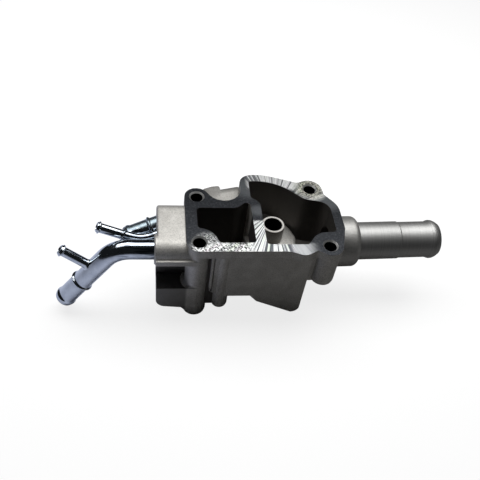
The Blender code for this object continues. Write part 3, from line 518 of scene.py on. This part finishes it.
@dataclass(frozen=True)
class CastingFinish:
    """Sand-grey casting with a milled gasket face, a turned spigot, and painted shade in the chambers, the
    bolt holes and outside; the face also carries painted shade and a painted reflection.
    """

    cast: Colour = (0.62, 0.605, 0.57)
    cast_dark: Colour = (0.50, 0.485, 0.45)
    glint: Colour = (0.8, 0.79, 0.77)
    # painted shade on the walls and floors within the chambers
    inner_shade: Colour = (0.10, 0.093, 0.087)
    # tone of the dark pits in the skin, and painted shade outside between the rear ears and on the pipe
    # block's lower front
    pits_and_shade: Colour = (0.16, 0.155, 0.145)
    chamfer_tone: Colour = (0.50, 0.50, 0.49)
    turned: Colour = (0.40, 0.40, 0.39)
    turned_light: Colour = (0.58, 0.58, 0.57)
    # painted shade: the walls of the bolt holes and the ring's bore are painted black
    black: Colour = (0.004, 0.004, 0.004)
    milled: MilledFace = MilledFace()
    bolts: tuple[Place, ...] = ((-49.5, 30.0), (-50.0, -22.5), (51.0, 42.0), (56.5, -26.0))
    ring: Place = (18.0, 17.5)
    face_level: Ramp = (0.75, 0.95)
    face_height: Ramp = (-0.35, -0.15)
    chamfer_edge: Ramp = (6.9, 6.6)
    chamfer_height: Ramp = (-2.2, -1.4)
    hole_edge: Ramp = (5.7, 5.4)
    hole_height: Ramp = (-1.2, -1.6)
    ring_bore_edge: Ramp = (8.2, 7.9)
    ring_bore_height: Ramp = (-20.1, -20.5)
    pad_edge: Ramp = (24.5, 24.2)
    pad_height: Ramp = (-53.0, -52.0)
    collar_start: Ramp = (73.0, 76.0)
    spigot_start: Ramp = (91.6, 92.2)
    # painted shade outside between the rear ears
    between_ears: Patch = Patch(((2.0, -4.0), (-44.0, -40.0)), ((22.0, 26.0),))
    between_ears_share: float = 0.5
    # painted shade on the pipe block's lower front, which faces away from the lamp
    block_side: Ramp = (-57.0, -60.0)
    block_facing: Ramp = (-0.35, -0.8)
    block_below: Ramp = (-17.0, -27.0)
    block_share: float = 0.75
    grain: Mottle = Mottle(1.7, 4.0, 0.65)
    clouds: Mottle = Mottle(0.09, 3.0, 0.55)
    pits: Mottle = Mottle(1.1, 3.0, 0.75)
    swell: Mottle = Mottle(0.45)
    cloud_edge: Ramp = (0.3, 0.75)
    glint_share: float = 0.4
    pit_edge: Ramp = (0.52, 0.36)
    pit_share: float = 0.45
    collar_share: float = 0.6
    ring_edge: Ramp = (0.3, 0.7)
    ring_share: float = 0.5
    rings_per_mm: float = 0.9
    grooves_per_mm: float = 3.0
    cast_roughness: Ramp = (0.5, 0.12)
    spigot_roughness: Ramp = (0.47, 0.08)
    collar_roughness: float = 0.5
    face_roughness: float = 0.34
    chamfer_roughness: float = 0.4
    cast_metallic: float = 0.85
    face_metallic: float = 0.9
    grain_height: float = 0.16
    swell_height: float = 0.12
    groove_height: float = 0.02
    mark_height: float = 0.012
    edge_softness: float = 0.9
    edge_samples: int = 6

    def material(self) -> bpy.types.Material:
        """Builds the material.

        Returns:
            The casting's material.
        """
        graph = Graph(Slot.ALUMINIUM.value)
        x, y, z = graph.axes()
        zones = self._zones(x, y, z)
        grain = graph.noise(self.grain)
        colour = self._colour(x, y, zones, grain)
        rough, rougher = self.cast_roughness
        spigot_rough, spigot_rougher = self.spigot_roughness
        roughness = graph.blend(zones.spigot, rough + grain * rougher, spigot_rough + grain * spigot_rougher)
        roughness = graph.blend(zones.collar, roughness, self.collar_roughness)
        roughness = graph.blend(zones.face, roughness, self.face_roughness)
        roughness = graph.blend(zones.chamfer, roughness, self.chamfer_roughness)
        metallic = graph.blend(zones.spigot, self.cast_metallic, 1.0)
        metallic = graph.blend(zones.face, metallic, self.face_metallic)
        sand = grain * self.grain_height + graph.noise(self.swell) * self.swell_height
        grooves = graph.noise(TURNED, graph.vector(x * self.grooves_per_mm, 0.0, 0.0))
        relief = graph.blend(zones.spigot, sand, grooves * self.groove_height)
        relief = graph.blend(zones.face, relief, self.milled.relief(x, y) * self.mark_height)
        soft_edge = {"Radius": self.edge_softness * MM}
        bevel = graph.node("ShaderNodeBevel", soft_edge, {"samples": self.edge_samples})
        hard = graph.node("ShaderNodeNewGeometry").outputs["Normal"]
        machined = graph.math("MAXIMUM", zones.face, zones.chamfer)
        normal = graph.blend_vectors(machined, bevel.outputs["Normal"], hard)
        return graph.finish(colour, metallic, roughness, relief, 1.0, normal)

    def _zones(self, x: Value, y: Value, z: Value) -> CastingZones:
        """Finds where each finish and each painted shade lies.

        Args:
            x: Millimetres along X.
            y: Millimetres along Y.
            z: The height in millimetres.

        Returns:
            The masks.
        """
        graph = x.graph
        _, forward, up = graph.normal_axes()
        face = z.ramp(*self.face_height) * up.ramp(*self.face_level)
        spigot = x.ramp(*self.spigot_start)
        bolt = functools.reduce(lambda near, away: graph.math("MINIMUM", near, away),
                                [distance(x, y, bolt) for bolt in self.bolts])
        ring = distance(x, y, self.ring)
        # painted shade below the mouths of the bolt holes and of the ring's bore
        bolt_hole = bolt.ramp(*self.hole_edge) * z.ramp(*self.hole_height)
        ring_bore = ring.ramp(*self.ring_bore_edge) * z.ramp(*self.ring_bore_height)
        pad = ring.ramp(*self.pad_edge) * z.ramp(*self.pad_height)
        attribute = graph.node("ShaderNodeAttribute", settings={"attribute_name": ENCLOSED})
        # painted shade on every enclosed face except the seat pad
        inside = graph.value(attribute, "Fac") * (1.0 - pad)
        # painted shade between the rear ears and on the pipe block's lower front
        ears = self.between_ears.mask(x, y) * (1.0 - inside) * self.between_ears_share
        block = x.ramp(*self.block_side) * forward.ramp(*self.block_facing) * z.ramp(*self.block_below)
        return CastingZones(
            face=face,
            chamfer=bolt.ramp(*self.chamfer_edge) * z.ramp(*self.chamfer_height) * (1.0 - face),
            hole_shade=graph.math("MAXIMUM", bolt_hole, ring_bore),
            inside=inside,
            shade=graph.math("MAXIMUM", ears, block * self.block_share),
            collar=x.ramp(*self.collar_start) * (1.0 - spigot),
            spigot=spigot,
        )

    def _colour(self, x: Value, y: Value, zones: CastingZones, grain: Value) -> bpy.types.NodeSocket:
        """Paints the casting, from the sand-cast skin to what is cut into it, with painted shade in the
        chambers, the holes and outside.

        Args:
            x: Millimetres along X.
            y: Millimetres along Y.
            zones: Where each finish lies.
            grain: The skin's grain.

        Returns:
            The base colour.
        """
        graph = x.graph
        clouds = graph.noise(self.clouds).ramp(*self.cloud_edge)
        pits = graph.noise(self.pits).ramp(*self.pit_edge)
        rings = graph.noise(TURNED, graph.vector(x * self.rings_per_mm, 0.0, 0.0))
        turned = graph.mix(rings.ramp(*self.ring_edge) * self.ring_share, self.turned, self.turned_light)
        colour = graph.mix(clouds, self.cast_dark, self.cast)
        for mask, tone in (
            (grain.ramp(*self.cloud_edge) * self.glint_share, self.glint),
            (pits * self.pit_share, self.pits_and_shade),
            # painted shade within the chambers
            (zones.inside, self.inner_shade),
            # painted shade between the rear ears and on the pipe block's lower front
            (zones.shade, self.pits_and_shade),
            (zones.collar * self.collar_share, self.turned),
            (zones.spigot, turned),
            # painted shade and painted reflection of the milled face
            (zones.face, self.milled.colour(x, y)),
            (zones.chamfer, self.chamfer_tone),
            # painted shade in the bolt holes and the ring's bore
            (zones.hole_shade, self.black),
        ):
            colour = graph.mix(mask, colour, tone)
        return colour


@dataclass(frozen=True)
class SteelFinish:
    """Bright zinc-plated steel; the rear pipe is rougher and carries a cyan-grey tone painted as the
    reflection of a pale surround.
    """

    clouds: Mottle = Mottle(0.12, 3.0, 0.6)
    fine: Mottle = Mottle(2.2, 2.0, 0.6)
    plate: Colour = (0.62, 0.67, 0.72)
    haze: Colour = (0.36, 0.40, 0.46)
    streak: Colour = (0.10, 0.12, 0.15)
    # painted reflection: the rear pipe's tone of a pale surround
    rear_reflection: Colour = (0.24, 0.30, 0.33)
    haze_edge: Ramp = (0.35, 0.7)
    haze_share: float = 0.5
    streak_edge: Ramp = (0.46, 0.56)
    streak_start: Ramp = (-118.0, -108.0)
    streak_share: float = 0.85
    streaks_along: float = 0.05
    streaks_across: float = 0.9
    rear_from: Ramp = (3.0, 6.0)
    rear_reflection_share: float = 0.85
    roughness: float = 0.09
    cloud_roughness: float = 0.06
    fine_roughness: float = 0.03
    rear_roughness: float = 0.2
    cloud_height: float = 0.5
    fine_height: float = 0.01
    relief: float = 0.12

    def material(self) -> bpy.types.Material:
        """Builds the material.

        Returns:
            The pipes' material.
        """
        graph = Graph(Slot.STEEL.value)
        clouds = graph.noise(self.clouds)
        fine = graph.noise(self.fine)
        x, y, z = graph.axes()
        rear = y.ramp(*self.rear_from)
        lengthwise = graph.vector(x * self.streaks_along, y * self.streaks_across, z * self.streaks_across)
        drawn = graph.noise(TURNED, lengthwise).ramp(*self.streak_edge)
        colour = graph.mix(clouds.ramp(*self.haze_edge) * self.haze_share, self.plate, self.haze)
        colour = graph.mix(drawn * x.ramp(*self.streak_start) * self.streak_share, colour, self.streak)
        # painted reflection tone on the rear pipe
        colour = graph.mix(rear * self.rear_reflection_share, colour, self.rear_reflection)
        roughness = self.roughness + clouds * self.cloud_roughness + fine * self.fine_roughness
        roughness = roughness + rear * self.rear_roughness
        height = clouds * self.cloud_height + fine * self.fine_height
        return graph.finish(colour, 1.0, roughness, height, self.relief)


def unit(direction: Union[np.ndarray, tuple[float, ...]]) -> np.ndarray:
    """Gives a direction its unit length."""
    return np.array(direction) / np.linalg.norm(direction)


class Route:
    """A smooth line through space, known by its distance from the start."""

    def __init__(self, points: np.ndarray) -> None:
        """Keeps closely spaced points and their distances along the line.

        Args:
            points: The line's points, one to a row.
        """
        self.points = points
        steps = np.linalg.norm(np.diff(points, axis=0), axis=1)
        self.distances = np.concatenate([[0.0], np.cumsum(steps)])

    @property
    def length(self) -> float:
        """The line's whole length."""
        return float(self.distances[-1])

    def at(self, distances: np.ndarray) -> tuple[np.ndarray, np.ndarray]:
        """Finds places on the line.

        Args:
            distances: Distances from the start.

        Returns:
            The points and the unit tangents there.
        """
        spots = [np.stack([np.interp(distances + shift, self.distances, self.points[:, axis])
                           for axis in range(3)], axis=-1)
                 for shift in (0.0, -TANGENT_REACH, TANGENT_REACH)]
        tangents = spots[2] - spots[1]
        return spots[0], tangents / np.linalg.norm(tangents, axis=-1, keepdims=True)


def line_points(start: np.ndarray, end: np.ndarray) -> np.ndarray:
    """Gives points from start to end at even steps."""
    share = np.linspace(0.0, 1.0, LINE_POINTS)[:, None]
    return start * (1.0 - share) + end * share


def arc_points(start: np.ndarray, heading: np.ndarray, towards: np.ndarray, radius: float,
               angle: float) -> np.ndarray:
    """Gives points round a bend that leaves along heading and is centred at start + radius * towards."""
    turn = np.linspace(0.0, angle, ARC_POINTS)[:, None]
    return start + radius * (heading * np.sin(turn) + towards * (1.0 - np.cos(turn)))


def sag_points(start: np.ndarray, leaving: np.ndarray, end: np.ndarray, arriving: np.ndarray,
               reach: float) -> np.ndarray:
    """Gives points of a cubic curve, whose four guide points are weighted by the shares t and 1 - t.

    Args:
        start: The first point.
        leaving: The direction at the start.
        end: The last point.
        arriving: The direction at the end.
        reach: How far the middle guide points lie from the ends.

    Returns:
        The points, one to a row.
    """
    first, second = start + leaving * reach, end - arriving * reach
    t = np.linspace(0.0, 1.0, SAG_POINTS)[:, None]
    u = 1.0 - t
    return start * u ** 3 + first * 3.0 * u * u * t + second * 3.0 * u * t * t + end * t ** 3


@dataclass(frozen=True)
class Bead:
    """A rolled bead round a pipe: a smooth bump of radius."""

    at: float
    rise: float
    half: float

    def added(self, distances: np.ndarray) -> np.ndarray:
        """Gives the added radius at each distance: rise times a squared cosine within half of the crest."""
        share = np.clip(np.abs(distances - self.at) / self.half, 0.0, 1.0)
        return self.rise * np.cos(0.5 * np.pi * share) ** 2


@dataclass(frozen=True)
class Tube:
    """A round pipe with beads and a rolled open end, swept along a route."""

    name: str
    route: Route
    outer: float
    wall: float
    beads: tuple[Bead, ...]
    lip: float
    around: int = 96
    step: float = 0.45
    root_edge: float = 0.4
    root_wall: float = 0.9
    lip_steps: int = 9
    lip_depth: float = 0.75
    mouth_gap: float = 0.05

    def profile(self) -> tuple[np.ndarray, np.ndarray]:
        """Gives the closed section: the outside, the rolled lip, then the bore backwards.

        Returns:
            The distances along the route and the radii there.
        """
        tail = self.route.length
        outside = np.arange(0.0, tail - self.lip, self.step)
        chamfer = self.outer - self.root_edge + outside
        radii = np.where(outside < self.root_edge, chamfer, self._outer_radius(outside))
        turn = np.linspace(0.0, 0.5 * np.pi, self.lip_steps)
        last = float(self._outer_radius(np.array([tail - self.lip]))[0])
        drop = min(self.lip, self.lip_depth * (last - self.outer + self.wall))
        lip_distances = tail - self.lip + self.lip * np.sin(turn)
        lip_radii = last - drop * (1.0 - np.cos(turn))
        bore = np.linspace(tail - self.mouth_gap, 0.0, max(int(tail / (2.0 * self.step)), 8))
        bore_radii = np.full_like(bore, self.outer - self.wall)
        root = [self.outer - self.root_wall * self.wall]
        distances = np.concatenate([outside, lip_distances, bore, [0.0]])
        return distances, np.concatenate([radii, lip_radii, bore_radii, root])

    def _outer_radius(self, distances: np.ndarray) -> np.ndarray:
        """Gives the outer radius with the beads on it."""
        return self.outer + sum(bead.added(distances) for bead in self.beads)

    def build(self) -> bpy.types.Object:
        """Makes the pipe's mesh.

        Point (i, j) is the route's point at the profile's distance i, moved out by its radius along
        cos(j) * side + sin(j) * up, where side is the Y axis squared to the route. Both ways are closed.

        Returns:
            The finished object.
        """
        distances, radii = self.profile()
        centres, tangents = self.route.at(distances)
        side = np.array([0.0, 1.0, 0.0]) - tangents * tangents[:, 1:2]
        side /= np.linalg.norm(side, axis=1, keepdims=True)
        up = np.cross(tangents, side)
        angle = np.linspace(0.0, 2.0 * np.pi, self.around, endpoint=False)[None, :, None]
        arms = np.cos(angle) * side[:, None, :] + np.sin(angle) * up[:, None, :]
        grid = centres[:, None, :] + radii[:, None, None] * arms
        return grid_object(self.name, grid)


def add_object(name: str, data: bpy.types.ID) -> bpy.types.Object:
    """Puts a mesh, a light or a camera into the scene."""
    item = bpy.data.objects.new(name, data)
    bpy.context.scene.collection.objects.link(item)
    return item


def grid_object(name: str, grid: np.ndarray, inward: bool = False) -> bpy.types.Object:
    """Makes a mesh from a grid of points that is closed both ways.

    Args:
        name: The object's name.
        grid: Points in millimetres, shaped (rows, columns, 3).
        inward: Whether the grid's own order faces inwards.

    Returns:
        The object, with smooth shading.
    """
    rows, columns = grid.shape[:2]
    index = np.arange(rows * columns).reshape(rows, columns)
    right = np.roll(index, -1, axis=1)
    below = np.roll(index, -1, axis=0)
    corner = np.roll(right, -1, axis=0)
    order = (index, below, corner, right) if inward else (index, right, corner, below)
    faces = np.stack(order, axis=-1).reshape(-1, 4)
    mesh = bpy.data.meshes.new(name)
    mesh.from_pydata((grid.reshape(-1, 3) * MM).tolist(), [], faces.tolist())
    mesh.validate()
    mesh.shade_smooth()
    return add_object(name, mesh)


def dress(item: bpy.types.Object, material: bpy.types.Material, slot: Slot, *stands_for: str) -> None:
    """Gives a piece its material, ties it to the part and reports it.

    Args:
        item: The piece.
        material: Its finish.
        slot: The record's slot that the finish belongs to; not used.
        stands_for: The CAD nodes that the piece takes the place of.
    """
    item.data.materials.clear()
    item.data.materials.append(material)
    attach(item, "root")
    if stands_for:
        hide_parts(*stands_for)
    triangles = sum(len(polygon.vertices) - 2 for polygon in item.data.polygons)
    nodes = ", ".join(stands_for) or "nothing"
    LOG.info("%s: %d triangles, stands for %s", item.name, triangles, nodes)


@dataclass(frozen=True)
class Casting:
    """The housing casting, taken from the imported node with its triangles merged."""

    node: str = "housing"
    merge_distance: float = 0.004
    flat_degrees: float = 0.2
    crease_degrees: float = 32.0
    directions: int = 12
    first_turn: float = 0.1
    lift: float = 0.4
    misses: int = 2

    def build(self, material: bpy.types.Material) -> None:
        """Copies and merges the casting and shades its round stretches smooth.

        Args:
            material: The casting's finish.
        """
        shell = bmesh.new()
        shell.from_mesh(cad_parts[self.node].data)
        bmesh.ops.remove_doubles(shell, verts=shell.verts, dist=self.merge_distance * MM)
        flat = math.radians(self.flat_degrees)
        bmesh.ops.dissolve_limit(shell, angle_limit=flat, verts=shell.verts, edges=shell.edges)
        mesh = bpy.data.meshes.new("casting")
        shell.to_mesh(mesh)
        shell.free()
        for name in STALE_LAYERS:
            if name in mesh.attributes:
                mesh.attributes.remove(mesh.attributes[name])
        mesh.shade_smooth()
        mesh.set_sharp_from_angle(angle=math.radians(self.crease_degrees))
        self._mark_enclosed(mesh)
        dress(add_object("casting", mesh), material, Slot.ALUMINIUM, self.node)

    def _mark_enclosed(self, mesh: bpy.types.Mesh) -> None:
        """Marks each face from whose middle nearly every level direction meets the casting again.

        Args:
            mesh: The casting's mesh, which gets a face attribute of 0 and 1.
        """
        shell = bmesh.new()
        shell.from_mesh(mesh)
        tree = BVHTree.FromBMesh(shell)
        shell.free()
        turns = np.arange(self.directions) * (2.0 * np.pi / self.directions) + self.first_turn
        ways = [Vector((math.cos(turn), math.sin(turn), 0.0)) for turn in turns]
        marks = []
        for polygon in mesh.polygons:
            spot = polygon.center + polygon.normal * self.lift * MM
            free = sum(tree.ray_cast(spot, way)[0] is None for way in ways)
            marks.append(float(free <= self.misses))
        # the casting's material paints the marked faces dark as painted shade
        layer = mesh.attributes.new(ENCLOSED, "FLOAT", "FACE")
        layer.data.foreach_set("value", marks)


@dataclass(frozen=True)
class HeaterPipes:
    """The two big heater pipes and the two small ones."""

    block_end: float = -83.4
    axis_z: float = -14.0
    seat: float = 14.0
    pipe_radius: float = 8.15
    pipe_wall: float = 1.5
    pipe_bead: float = 1.5
    nipple_radius: float = 4.0
    nipple_wall: float = 1.0
    nipple_bead: float = 1.0
    front_y: float = -18.1
    bend_x: float = -104.3
    bend_radius: float = 24.0
    bend_angle: float = math.radians(54.4)
    front_stop: float = 35.0
    front_tail: float = 63.5
    rear_yz: tuple[float, float] = (10.8, -16.3)
    rear_tilt: float = math.radians(17.0)
    rear_yaw: float = math.radians(12.7)
    rear_stop: float = 4.6
    rear_tail: float = 27.0
    nipple_at: float = 15.8
    nipple_length: float = 33.0
    nipple_aim: tuple[float, float, float] = (-0.81, 0.10, 0.58)
    vent_yz: tuple[float, float] = (-3.6, -12.4)
    vent_seat: float = 12.0
    vent_seat_aim: tuple[float, float, float] = (-0.93, -0.13, -0.34)
    vent_knee: tuple[float, float, float] = (-108.6, -4.6, -12.0)
    vent_tail_aim: tuple[float, float, float] = (-0.94, 0.06, 0.35)
    vent_reach: float = 12.0
    vent_stop: float = 2.2
    vent_tail: float = 24.0
    stop_half: float = 1.9
    vent_stop_half: float = 1.4
    lip: float = 2.4
    end_bead_back: float = 4.3
    end_bead_half: float = 3.0
    end_bead_share: float = 0.55
    small_end_share: float = 1.21
    small_around: int = 64
    small_step: float = 0.35

    def build(self, material: bpy.types.Material) -> None:
        """Makes all four pipes.

        Args:
            material: The plated finish.
        """
        for tube, node in (
            (self._front(), "front_heater_pipe"),
            (self._rear(), "rear_heater_pipe"),
            (self._nipple(), "front_nipple"),
            (self._vent(), "vent_pipe"),
        ):
            dress(tube.build(), material, Slot.STEEL, node)

    def bend_end(self) -> tuple[np.ndarray, np.ndarray]:
        """Finds where the front pipe's bend ends.

        Returns:
            The point and the heading there.
        """
        sine, cosine = math.sin(self.bend_angle), math.cos(self.bend_angle)
        spot = np.array([self.bend_x - self.bend_radius * sine, self.front_y,
                         self.axis_z - self.bend_radius * (1.0 - cosine)])
        return spot, np.array([-cosine, 0.0, -sine])

    def _end_beads(self, length: float, radius: float, rise: float) -> tuple[float, Bead]:
        """Gives the lip's length and the rolled bead at a tail's open end."""
        scale = radius / self.pipe_radius
        return self.lip * scale, Bead(length - self.end_bead_back * scale, rise, self.end_bead_half * scale)

    def _big_tube(self, name: str, points: list[np.ndarray], stop_from_end: float) -> Tube:
        """Makes one of the two big pipes.

        Args:
            name: The piece's name.
            points: The stretches of its route.
            stop_from_end: How far the hose stop lies from the open end.

        Returns:
            The pipe.
        """
        route = Route(np.concatenate(points))
        lip, end_bead = self._end_beads(route.length, self.pipe_radius, self.end_bead_share * self.pipe_bead)
        stop = Bead(route.length - stop_from_end, self.pipe_bead, self.stop_half)
        return Tube(name, route, self.pipe_radius, self.pipe_wall, (stop, end_bead), lip)

    def _small_tube(self, name: str, route: Route, stops: tuple[Bead, ...] = ()) -> Tube:
        """Makes one of the two small pipes.

        Args:
            name: The piece's name.
            route: Its route.
            stops: The beads besides the one at its open end.

        Returns:
            The pipe.
        """
        rise = self.small_end_share * self.nipple_bead
        lip, end_bead = self._end_beads(route.length, self.nipple_radius, rise)
        return Tube(name, route, self.nipple_radius, self.nipple_wall, (*stops, end_bead), lip,
                    self.small_around, self.small_step)

    def _front(self) -> Tube:
        """Lays out the front pipe: straight, bend, straight.

        Returns:
            The pipe.
        """
        root = np.array([self.block_end + self.seat, self.front_y, self.axis_z])
        start = np.array([self.bend_x, self.front_y, self.axis_z])
        end, heading = self.bend_end()
        bend = arc_points(start, np.array([-1.0, 0.0, 0.0]), np.array([0.0, 0.0, -1.0]),
                          self.bend_radius, self.bend_angle)
        points = [line_points(root, start)[:-1], bend[:-1], line_points(end, end + heading * self.front_tail)]
        return self._big_tube("front_pipe_plated", points, self.front_tail - self.front_stop)

    def _rear(self) -> Tube:
        """Lays out the rear pipe: one slanting straight.

        Returns:
            The pipe.
        """
        run = math.cos(self.rear_tilt)
        along, across = -run * math.cos(self.rear_yaw), -run * math.sin(self.rear_yaw)
        heading = np.array([along, across, -math.sin(self.rear_tilt)])
        mouth = np.array([self.block_end, *self.rear_yz])
        points = [line_points(mouth - heading * self.seat, mouth + heading * self.rear_tail)]
        return self._big_tube("rear_pipe_plated", points, self.rear_tail - self.rear_stop)

    def _nipple(self) -> Tube:
        """Lays out the nipple on the front pipe.

        Returns:
            The pipe.
        """
        end, heading = self.bend_end()
        aim = unit(self.nipple_aim)
        spot = end + heading * self.nipple_at
        first = self.pipe_radius - self.pipe_wall
        route = Route(line_points(spot + aim * first, spot + aim * self.nipple_length))
        return self._small_tube("front_nipple_plated", route)

    def _vent(self) -> Tube:
        """Lays out the small pipe: its seat, a sag and a rising tail.

        Returns:
            The pipe.
        """
        leaving, arriving = unit(self.vent_seat_aim), unit(self.vent_tail_aim)
        mouth = np.array([self.block_end, *self.vent_yz])
        knee = np.array(self.vent_knee)
        route = Route(np.concatenate([
            line_points(mouth - leaving * self.vent_seat, mouth)[:-1],
            sag_points(mouth, leaving, knee, arriving, self.vent_reach)[:-1],
            line_points(knee, knee + arriving * self.vent_tail),
        ]))
        stop = Bead(route.length - self.vent_tail + self.vent_stop, self.nipple_bead, self.vent_stop_half)
        return self._small_tube("vent_pipe_plated", route, (stop,))


@dataclass(frozen=True)
class BrazeFillet:
    """The ring of braze where the nipple meets the front pipe."""

    pipes: HeaterPipes
    size: float = 1.3
    into_nipple: float = 0.25
    into_pipe: float = 0.4
    least_height: float = 1.0
    around: int = 72
    section_steps: int = 9

    def build(self, material: bpy.types.Material) -> None:
        """Makes the ring.

        Point (i, j) runs round the nipple with j. Its section i is a triangle with a hollow outer side, set
        on the height sqrt(R * R - (r * sin j) ** 2) at which a small cylinder leaves a big one.

        Args:
            material: The plated finish.
        """
        end, heading = self.pipes.bend_end()
        aim = unit(self.pipes.nipple_aim)
        across = unit(np.cross(heading, aim))
        along = np.cross(aim, across)
        spot = end + heading * self.pipes.nipple_at
        turn = np.linspace(0.0, 2.0 * np.pi, self.around, endpoint=False)[None, :]
        hollow = np.linspace(0.0, 0.5 * np.pi, self.section_steps)[:, None]
        out = self.size * (1.0 - np.sin(hollow))
        lift = self.size * (1.0 - np.cos(hollow))
        out = np.concatenate([out, [[-self.into_nipple]], [[-self.into_nipple]], [[self.size]]])
        lift = np.concatenate([lift, [[self.size]], [[-self.into_pipe]], [[-self.into_pipe]]])
        radius = self.pipes.nipple_radius + out
        drop = (radius * np.sin(turn)) ** 2
        base = np.sqrt(np.maximum(self.pipes.pipe_radius ** 2 - drop, self.least_height ** 2))
        rise = base + lift
        arm = along[None, None, :] * np.cos(turn)[..., None] + across[None, None, :] * np.sin(turn)[..., None]
        grid = spot + arm * radius[..., None] + aim * rise[..., None]
        dress(grid_object("braze_fillet", grid, inward=True), material, Slot.STEEL)


@dataclass(frozen=True)
class Studio:
    """A pale floor, one wide light overhead and behind, a dim surround and the camera.

    The part is seen lying as it does in the photo, a little over the floor.
    """

    floor_z: float = -86.0
    floor_reach: float = 3000.0
    speck: Mottle = Mottle(0.02)
    paper: Colour = (0.30, 0.30, 0.30)
    paper_speck: Colour = (0.27, 0.27, 0.27)
    speck_share: float = 0.05
    paper_glow: float = 0.80
    seen_in_metal: Colour = (0.235, 0.233, 0.232)
    painted_light_below_pipes: Colour = (0.72, 0.75, 0.90)
    painted_light_below_pipes_from: Ramp = (-62.0, -105.0)
    white: Colour = (1.0, 1.0, 1.0)
    black: Colour = (0.0, 0.0, 0.0)
    surround: Colour = (0.85, 0.92, 1.0)
    surround_strength: float = 0.012
    light_at: tuple[float, float, float] = (0.0, 235.0, 600.0)
    light_size: tuple[float, float] = (1100.0, 500.0)
    light_watts: float = 6.5
    azimuth: float = -12.7
    elevation: float = 46.1
    roll: float = 9.5
    camera_at: tuple[float, float, float] = (-93.764, -358.579, 360.276)
    lens: float = 46.875
    film_width: float = 36.0
    nearest: float = 10.0

    def build(self) -> None:
        """Sets up the floor, the surround, the light and the camera."""
        self._floor()
        self._surround()
        self._light()
        self._camera()

    def _floor(self) -> None:
        """Makes the floor, which the camera sees nearly white and the metal sees as grey, with a painted pool
        of light below the pipes.
        """
        mesh = bpy.data.meshes.new("floor")
        corners = [(x * self.floor_reach * MM, y * self.floor_reach * MM, self.floor_z * MM)
                   for x, y in ((-1, -1), (1, -1), (1, 1), (-1, 1))]
        mesh.from_pydata(corners, [], [(0, 1, 2, 3)])
        mesh.materials.append(self._paper())
        add_object("floor", mesh)

    def _paper(self) -> bpy.types.Material:
        """Builds the floor's paper.

        Returns:
            Paper that glows to the camera alone.
        """
        graph = Graph("floor_paper")
        seen = graph.value(graph.node("ShaderNodeLightPath"), "Is Camera Ray")
        speck = graph.noise(self.speck)
        paper = graph.mix(speck * self.speck_share, self.paper, self.paper_speck)
        across, _, _ = graph.axes()
        # painted light: a pale bluish pool on the floor below the pipes, seen only in the metal
        mirrored = graph.mix(across.ramp(*self.painted_light_below_pipes_from), self.seen_in_metal, self.painted_light_below_pipes)
        graph.feed(graph.shader.inputs["Emission Color"], graph.mix(seen, self.black, self.white))
        graph.feed(graph.shader.inputs["Emission Strength"], self.paper_glow)
        graph.feed(graph.shader.inputs["Specular IOR Level"], 0.0)
        return graph.finish(graph.mix(seen, mirrored, paper), 0.0, 1.0, speck, 0.0)

    def _surround(self) -> None:
        """Sets a dim, even surround."""
        world = bpy.data.worlds.new("surround")
        world.use_nodes = True
        background = world.node_tree.nodes["Background"]
        background.inputs["Color"].default_value = (*self.surround, 1.0)
        background.inputs["Strength"].default_value = self.surround_strength
        bpy.context.scene.world = world

    def _light(self) -> None:
        """Hangs one rectangular light, which faces straight down."""
        lamp = bpy.data.lights.new("overhead", "AREA")
        lamp.shape = "RECTANGLE"
        lamp.size, lamp.size_y = (side * MM for side in self.light_size)
        lamp.energy = self.light_watts
        add_object("overhead", lamp).location = Vector(self.light_at) * MM

    def _camera(self) -> None:
        """Places the camera where the photo was taken from."""
        lens = bpy.data.cameras.new("photo_camera")
        lens.lens = self.lens
        lens.sensor_width = self.film_width
        lens.clip_start = self.nearest * MM
        item = add_object("photo_camera", lens)
        turn = Matrix.Rotation(math.radians(self.azimuth), 4, "Z")
        tilt = Matrix.Rotation(math.radians(90.0 - self.elevation), 4, "X")
        roll = Matrix.Rotation(math.radians(self.roll), 4, "Z")
        item.matrix_world = Matrix.Translation(Vector(self.camera_at) * MM) @ turn @ tilt @ roll
        bpy.context.scene.camera = item


def main() -> None:
    """Builds the picture."""
    logging.basicConfig(level=logging.INFO, format="%(name)s: %(message)s")
    bpy.context.scene.view_settings.view_transform = "Standard"
    Casting().build(CastingFinish().material())
    steel = SteelFinish().material()
    pipes = HeaterPipes()
    pipes.build(steel)
    BrazeFillet(pipes).build(steel)
    Studio().build()


if __name__ == "__main__":
    main()
